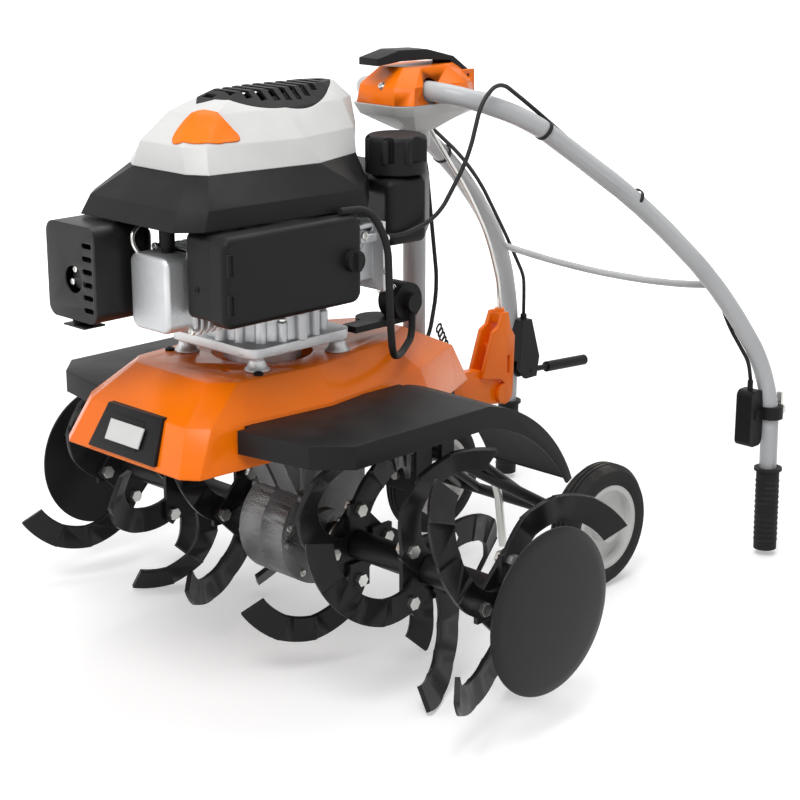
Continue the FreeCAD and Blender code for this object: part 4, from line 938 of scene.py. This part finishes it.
    def latch(self, number: int, level: float) -> None:
        """Models one sunk clip in the edge of the filter cover."""
        still()
        bpy.ops.mesh.primitive_cube_add(size=1, location=place(226.0, 143.2, level))
        made = bpy.context.object
        made.scale = (0.009, 0.003, 0.026)
        bpy.ops.object.transform_apply(location=False, rotation=False, scale=True)
        bpy.ops.object.mode_set(mode="EDIT")
        pick(made, lambda face: face.normal.y > 0.9)
        bpy.ops.mesh.inset(thickness=0.0016, depth=0)
        bpy.ops.mesh.extrude_region_move(TRANSFORM_OT_translate={"value": (0, -0.0022, 0)})
        bpy.ops.object.mode_set(mode="OBJECT")
        finished(settle(made, f"filter_latch_{number}"), "belt_rubber", "frame")

    def link_springs(self) -> None:
        """Winds the governor spring and bends the bracket by the muffler guard."""
        coil = []
        for step in range(49):
            turn = math.radians(60 * step)
            coil.append(place(-52 + step * 0.55, 118 + 3.4 * math.cos(turn), 476 + 3.4 * math.sin(turn)))
        finished(tube("governor_spring", coil, 0.0006), "bright_zinc", "frame")
        bend = ((236, -4, 574), (246, -2, 570), (250, 0, 558), (246, 3, 546), (238, 4, 540))
        hook = [place(*spot) for spot in bend]
        finished(tube("shroud_bracket", hook, 0.0024), "bright_zinc", "frame")

    def nodes(self) -> tuple[str, ...]:
        """Names the engine's pieces."""
        return (
            "crankcase", "crankshaft", "valve_cover", "spark_plug", "engine_shroud", "top_cowl",
            "intake_grille",
            "fuel_tank", "fuel_cap", "filter_base", "filter_cover", "filter_knob", "carburettor",
            "breather_housing", "breather_hose", "muffler", "muffler_guard",
        )


@dataclass
class Steering(SubAssembly):
    """The stem, console and handlebar with its levers and cables."""

    tube_radius: float = 0.0126

    def shells(self) -> dict[str, float]:
        """Rounds the console's mouldings."""
        return {"console_cover": 0.006, "console_base": 0.004, "console_lever": 0.003, "handlebar": 0.0005}

    def build(self) -> None:
        """Rounds the shells, then adds the console screw and the cable ties."""
        super().build()
        slope = Vector((0.65, 0, 0.76))
        finished(screw_head("console_screw", place(-141.4, 8, 700.6), slope, 0.0048), "bright_zinc", "frame")
        along = Vector((-185, 37, -126)).normalized()
        for name, side, at in (("tie_left", 1, 0.12), ("tie_left_low", 1, 0.95), ("tie_right", -1, 0.7)):
            where = place(-289 - 185 * at, side * (125 + 37 * at), 656 - 126 * at)
            way = Vector((along.x, side * along.y, along.z))
            ring = band(name, where, way, self.tube_radius, 0.005, 0.0016)
            finished(ring, "cable_sheath", "handlebar")
        self.cable("throttle_cable", "handlebar", place(-180, 124, 650), place(-280, 124, 700))
        self.cable("drive_cable", "handlebar", place(-225, 10, 600), place(-300, -60, 640))
        self.cable("release_cable", "lock_plate", place(-366, 0, 440), place(-377, 0, 380))

    def cable(self, node: str, body: str, start: Vector, end: Vector) -> None:
        """Copies a cable's frame node, shades it smooth and gives it its slot's finish, without fixing it to
        any body.

        Args:
            node: The cable's frame node.
            body: The body its far end would ride on; it is only named in the log.
            start: Not used.
            end: Not used.
        """
        made = softened(node, 0.0, smooth=80.0)
        made.data.materials.clear()
        made.data.materials.append(bpy.data.materials[slot_of(node)])
        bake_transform(made)
        LOG.info("%s bends between frame and %s", made.name, body)

    def nodes(self) -> tuple[str, ...]:
        """Names the steering pieces."""
        return (
            "stem", "console_base", "console_cover", "console_lever", "handlebar", "grips",
            "throttle_housing",
            "throttle_lever", "drive_housing", "drive_lever", "throttle_cable", "drive_cable",
            "release_cable",
        )


@dataclass
class Transport(SubAssembly):
    """The rear bracket, drag spur and transport wheels."""

    link_long: float = 0.0075

    def shells(self) -> dict[str, float]:
        """Rounds the bracket, the lock plate and the wheels."""
        return {
            "rear_bracket": 0.0015, "lock_plate": 0.001, "wheel_left": 0.001, "wheel_right": 0.001,
            "tyre_left": 0.0008, "tyre_right": 0.0008,
        }

    def build(self) -> None:
        """Rounds the shells, then adds the strap behind the stem."""
        super().build()
        for step in range(9):
            self.link(step)

    def link(self, step: int) -> None:
        """Models one link of the strap, each turned a quarter from the last."""
        still()
        bpy.ops.mesh.primitive_torus_add(
            major_radius=self.link_long * 0.62, minor_radius=0.0014, major_segments=16, minor_segments=8
        )
        made = bpy.context.object
        bpy.ops.transform.resize(value=(1.25, 0.75, 1), center_override=(0, 0, 0))
        made.rotation_euler = (math.radians(90 * (step % 2)), math.radians(63), 0)
        made.location = place(-243 - step * 3.2, 12, 372 - step * 6.4)
        finished(settle(made, f"strap_link_{step + 1}"), "painted_steel_black", "frame")

    def nodes(self) -> tuple[str, ...]:
        """Names the rear pieces."""
        return (
            "rear_bracket", "lock_plate", "spur_holder", "drag_spur", "wheel_frame", "wheel_left",
            "wheel_right",
            "tyre_left", "tyre_right",
        )


# --------------------------------------------------------------------------
# Studio
# --------------------------------------------------------------------------


@dataclass
class Studio:
    """Floor, light and camera.

    Attributes:
        eye: The camera's place.
        look: The way it looks.
        lens: Its focal length, in mm on a 36 mm sensor.
    """

    eye: Point = (1.8189, 1.7107, 0.9868)
    look: Point = (-0.6822, -0.6757, -0.2782)
    lens: float = 85.9

    def build(self) -> None:
        """Builds the whole studio."""
        self.floor()
        self.sky()
        self.lamp("Key", (1.9, 1.0, 3.0), 1.8, 66.0)
        self.lamp("Fill", (3.0, -1.6, 1.3), 2.6, 22.0)
        self.lamp("Top", (-0.8, -0.2, 3.0), 2.2, 40.0)
        self.camera()

    def floor(self) -> None:
        """Lays a white floor that keeps the machine's shadow."""
        still()
        bpy.ops.mesh.primitive_plane_add(size=40, location=(0, 0, -0.0005))
        ground = bpy.context.object
        ground.name = "studio_floor"
        white = bpy.data.materials.new("studio_white")
        white.use_nodes = True
        net = Net(white.node_tree)
        matt = net.node("ShaderNodeBsdfDiffuse")
        matt.inputs["Color"].default_value = (0.8, 0.8, 0.8, 1.0)
        glow = net.node("ShaderNodeEmission")
        seen = net.node("ShaderNodeLightPath")
        straight = net.math("MAXIMUM", seen.outputs["Is Camera Ray"], seen.outputs["Is Glossy Ray"])
        away = net.vector("LENGTH", net.node("ShaderNodeTexCoord").outputs["Object"]).outputs["Value"]
        level = net.math("MULTIPLY_ADD", net.spread(away, 0.7, 2.4), 0.7, 0.36)
        net.feed(glow.inputs["Strength"], net.math("MULTIPLY", straight, level))
        both = net.node("ShaderNodeAddShader")
        net.feed(both.inputs[0], matt.outputs[0])
        net.feed(both.inputs[1], glow.outputs[0])
        net.feed(white.node_tree.nodes["Material Output"].inputs["Surface"], both.outputs[0])
        ground.data.materials.append(white)

    def sky(self) -> None:
        """Sets a white surround that lights the machine at a plain level."""
        world = bpy.data.worlds.new("studio_surround")
        bpy.context.scene.world = world
        world.use_nodes = True
        net = Net(world.node_tree)
        seen = net.node("ShaderNodeLightPath")
        straight = net.math("MAXIMUM", seen.outputs["Is Camera Ray"], seen.outputs["Is Transmission Ray"])
        white = net.math("MAXIMUM", straight, seen.outputs["Is Glossy Ray"])
        back = world.node_tree.nodes["Background"]
        back.inputs["Color"].default_value = (1.0, 1.0, 1.0, 1.0)
        net.feed(back.inputs["Strength"], net.math("MULTIPLY_ADD", white, 0.62, 0.38))

    def lamp(self, name: str, at: Point, size: float, watts: float) -> None:
        """Hangs a soft square lamp that faces the machine."""
        light = bpy.data.lights.new(name, "AREA")
        light.size = size
        light.energy = watts
        held = bpy.data.objects.new(name, light)
        bpy.context.scene.collection.objects.link(held)
        held.location = at
        held.rotation_mode = "QUATERNION"
        held.rotation_quaternion = (Vector((0, 0, 0.35)) - Vector(at)).to_track_quat("-Z", "Y")

    def camera(self) -> None:
        """Sets up the camera."""
        lens = bpy.data.cameras.new("Camera")
        lens.lens = self.lens
        lens.sensor_width = 36.0
        held = bpy.data.objects.new("Camera", lens)
        bpy.context.scene.collection.objects.link(held)
        held.location = self.eye
        held.rotation_mode = "QUATERNION"
        held.rotation_quaternion = Vector(self.look).to_track_quat("-Z", "Y")
        bpy.context.scene.camera = held


def main() -> None:
    """Builds the machine's finishes and pieces in order, then the studio."""
    logging.basicConfig(level=logging.INFO, format="%(message)s")
    for builder in (build_soft_edge, build_grain, build_dust, build_drawn):
        builder()
    for finish in FINISHES:
        finish.material()
    for group in (Rotor(), Deck(), Engine(), Steering(), Transport()):
        group.build()
        group.dress()
    Studio().build()
    bpy.context.scene.view_settings.view_transform = "Standard"


if __name__ == "__main__":
    main()
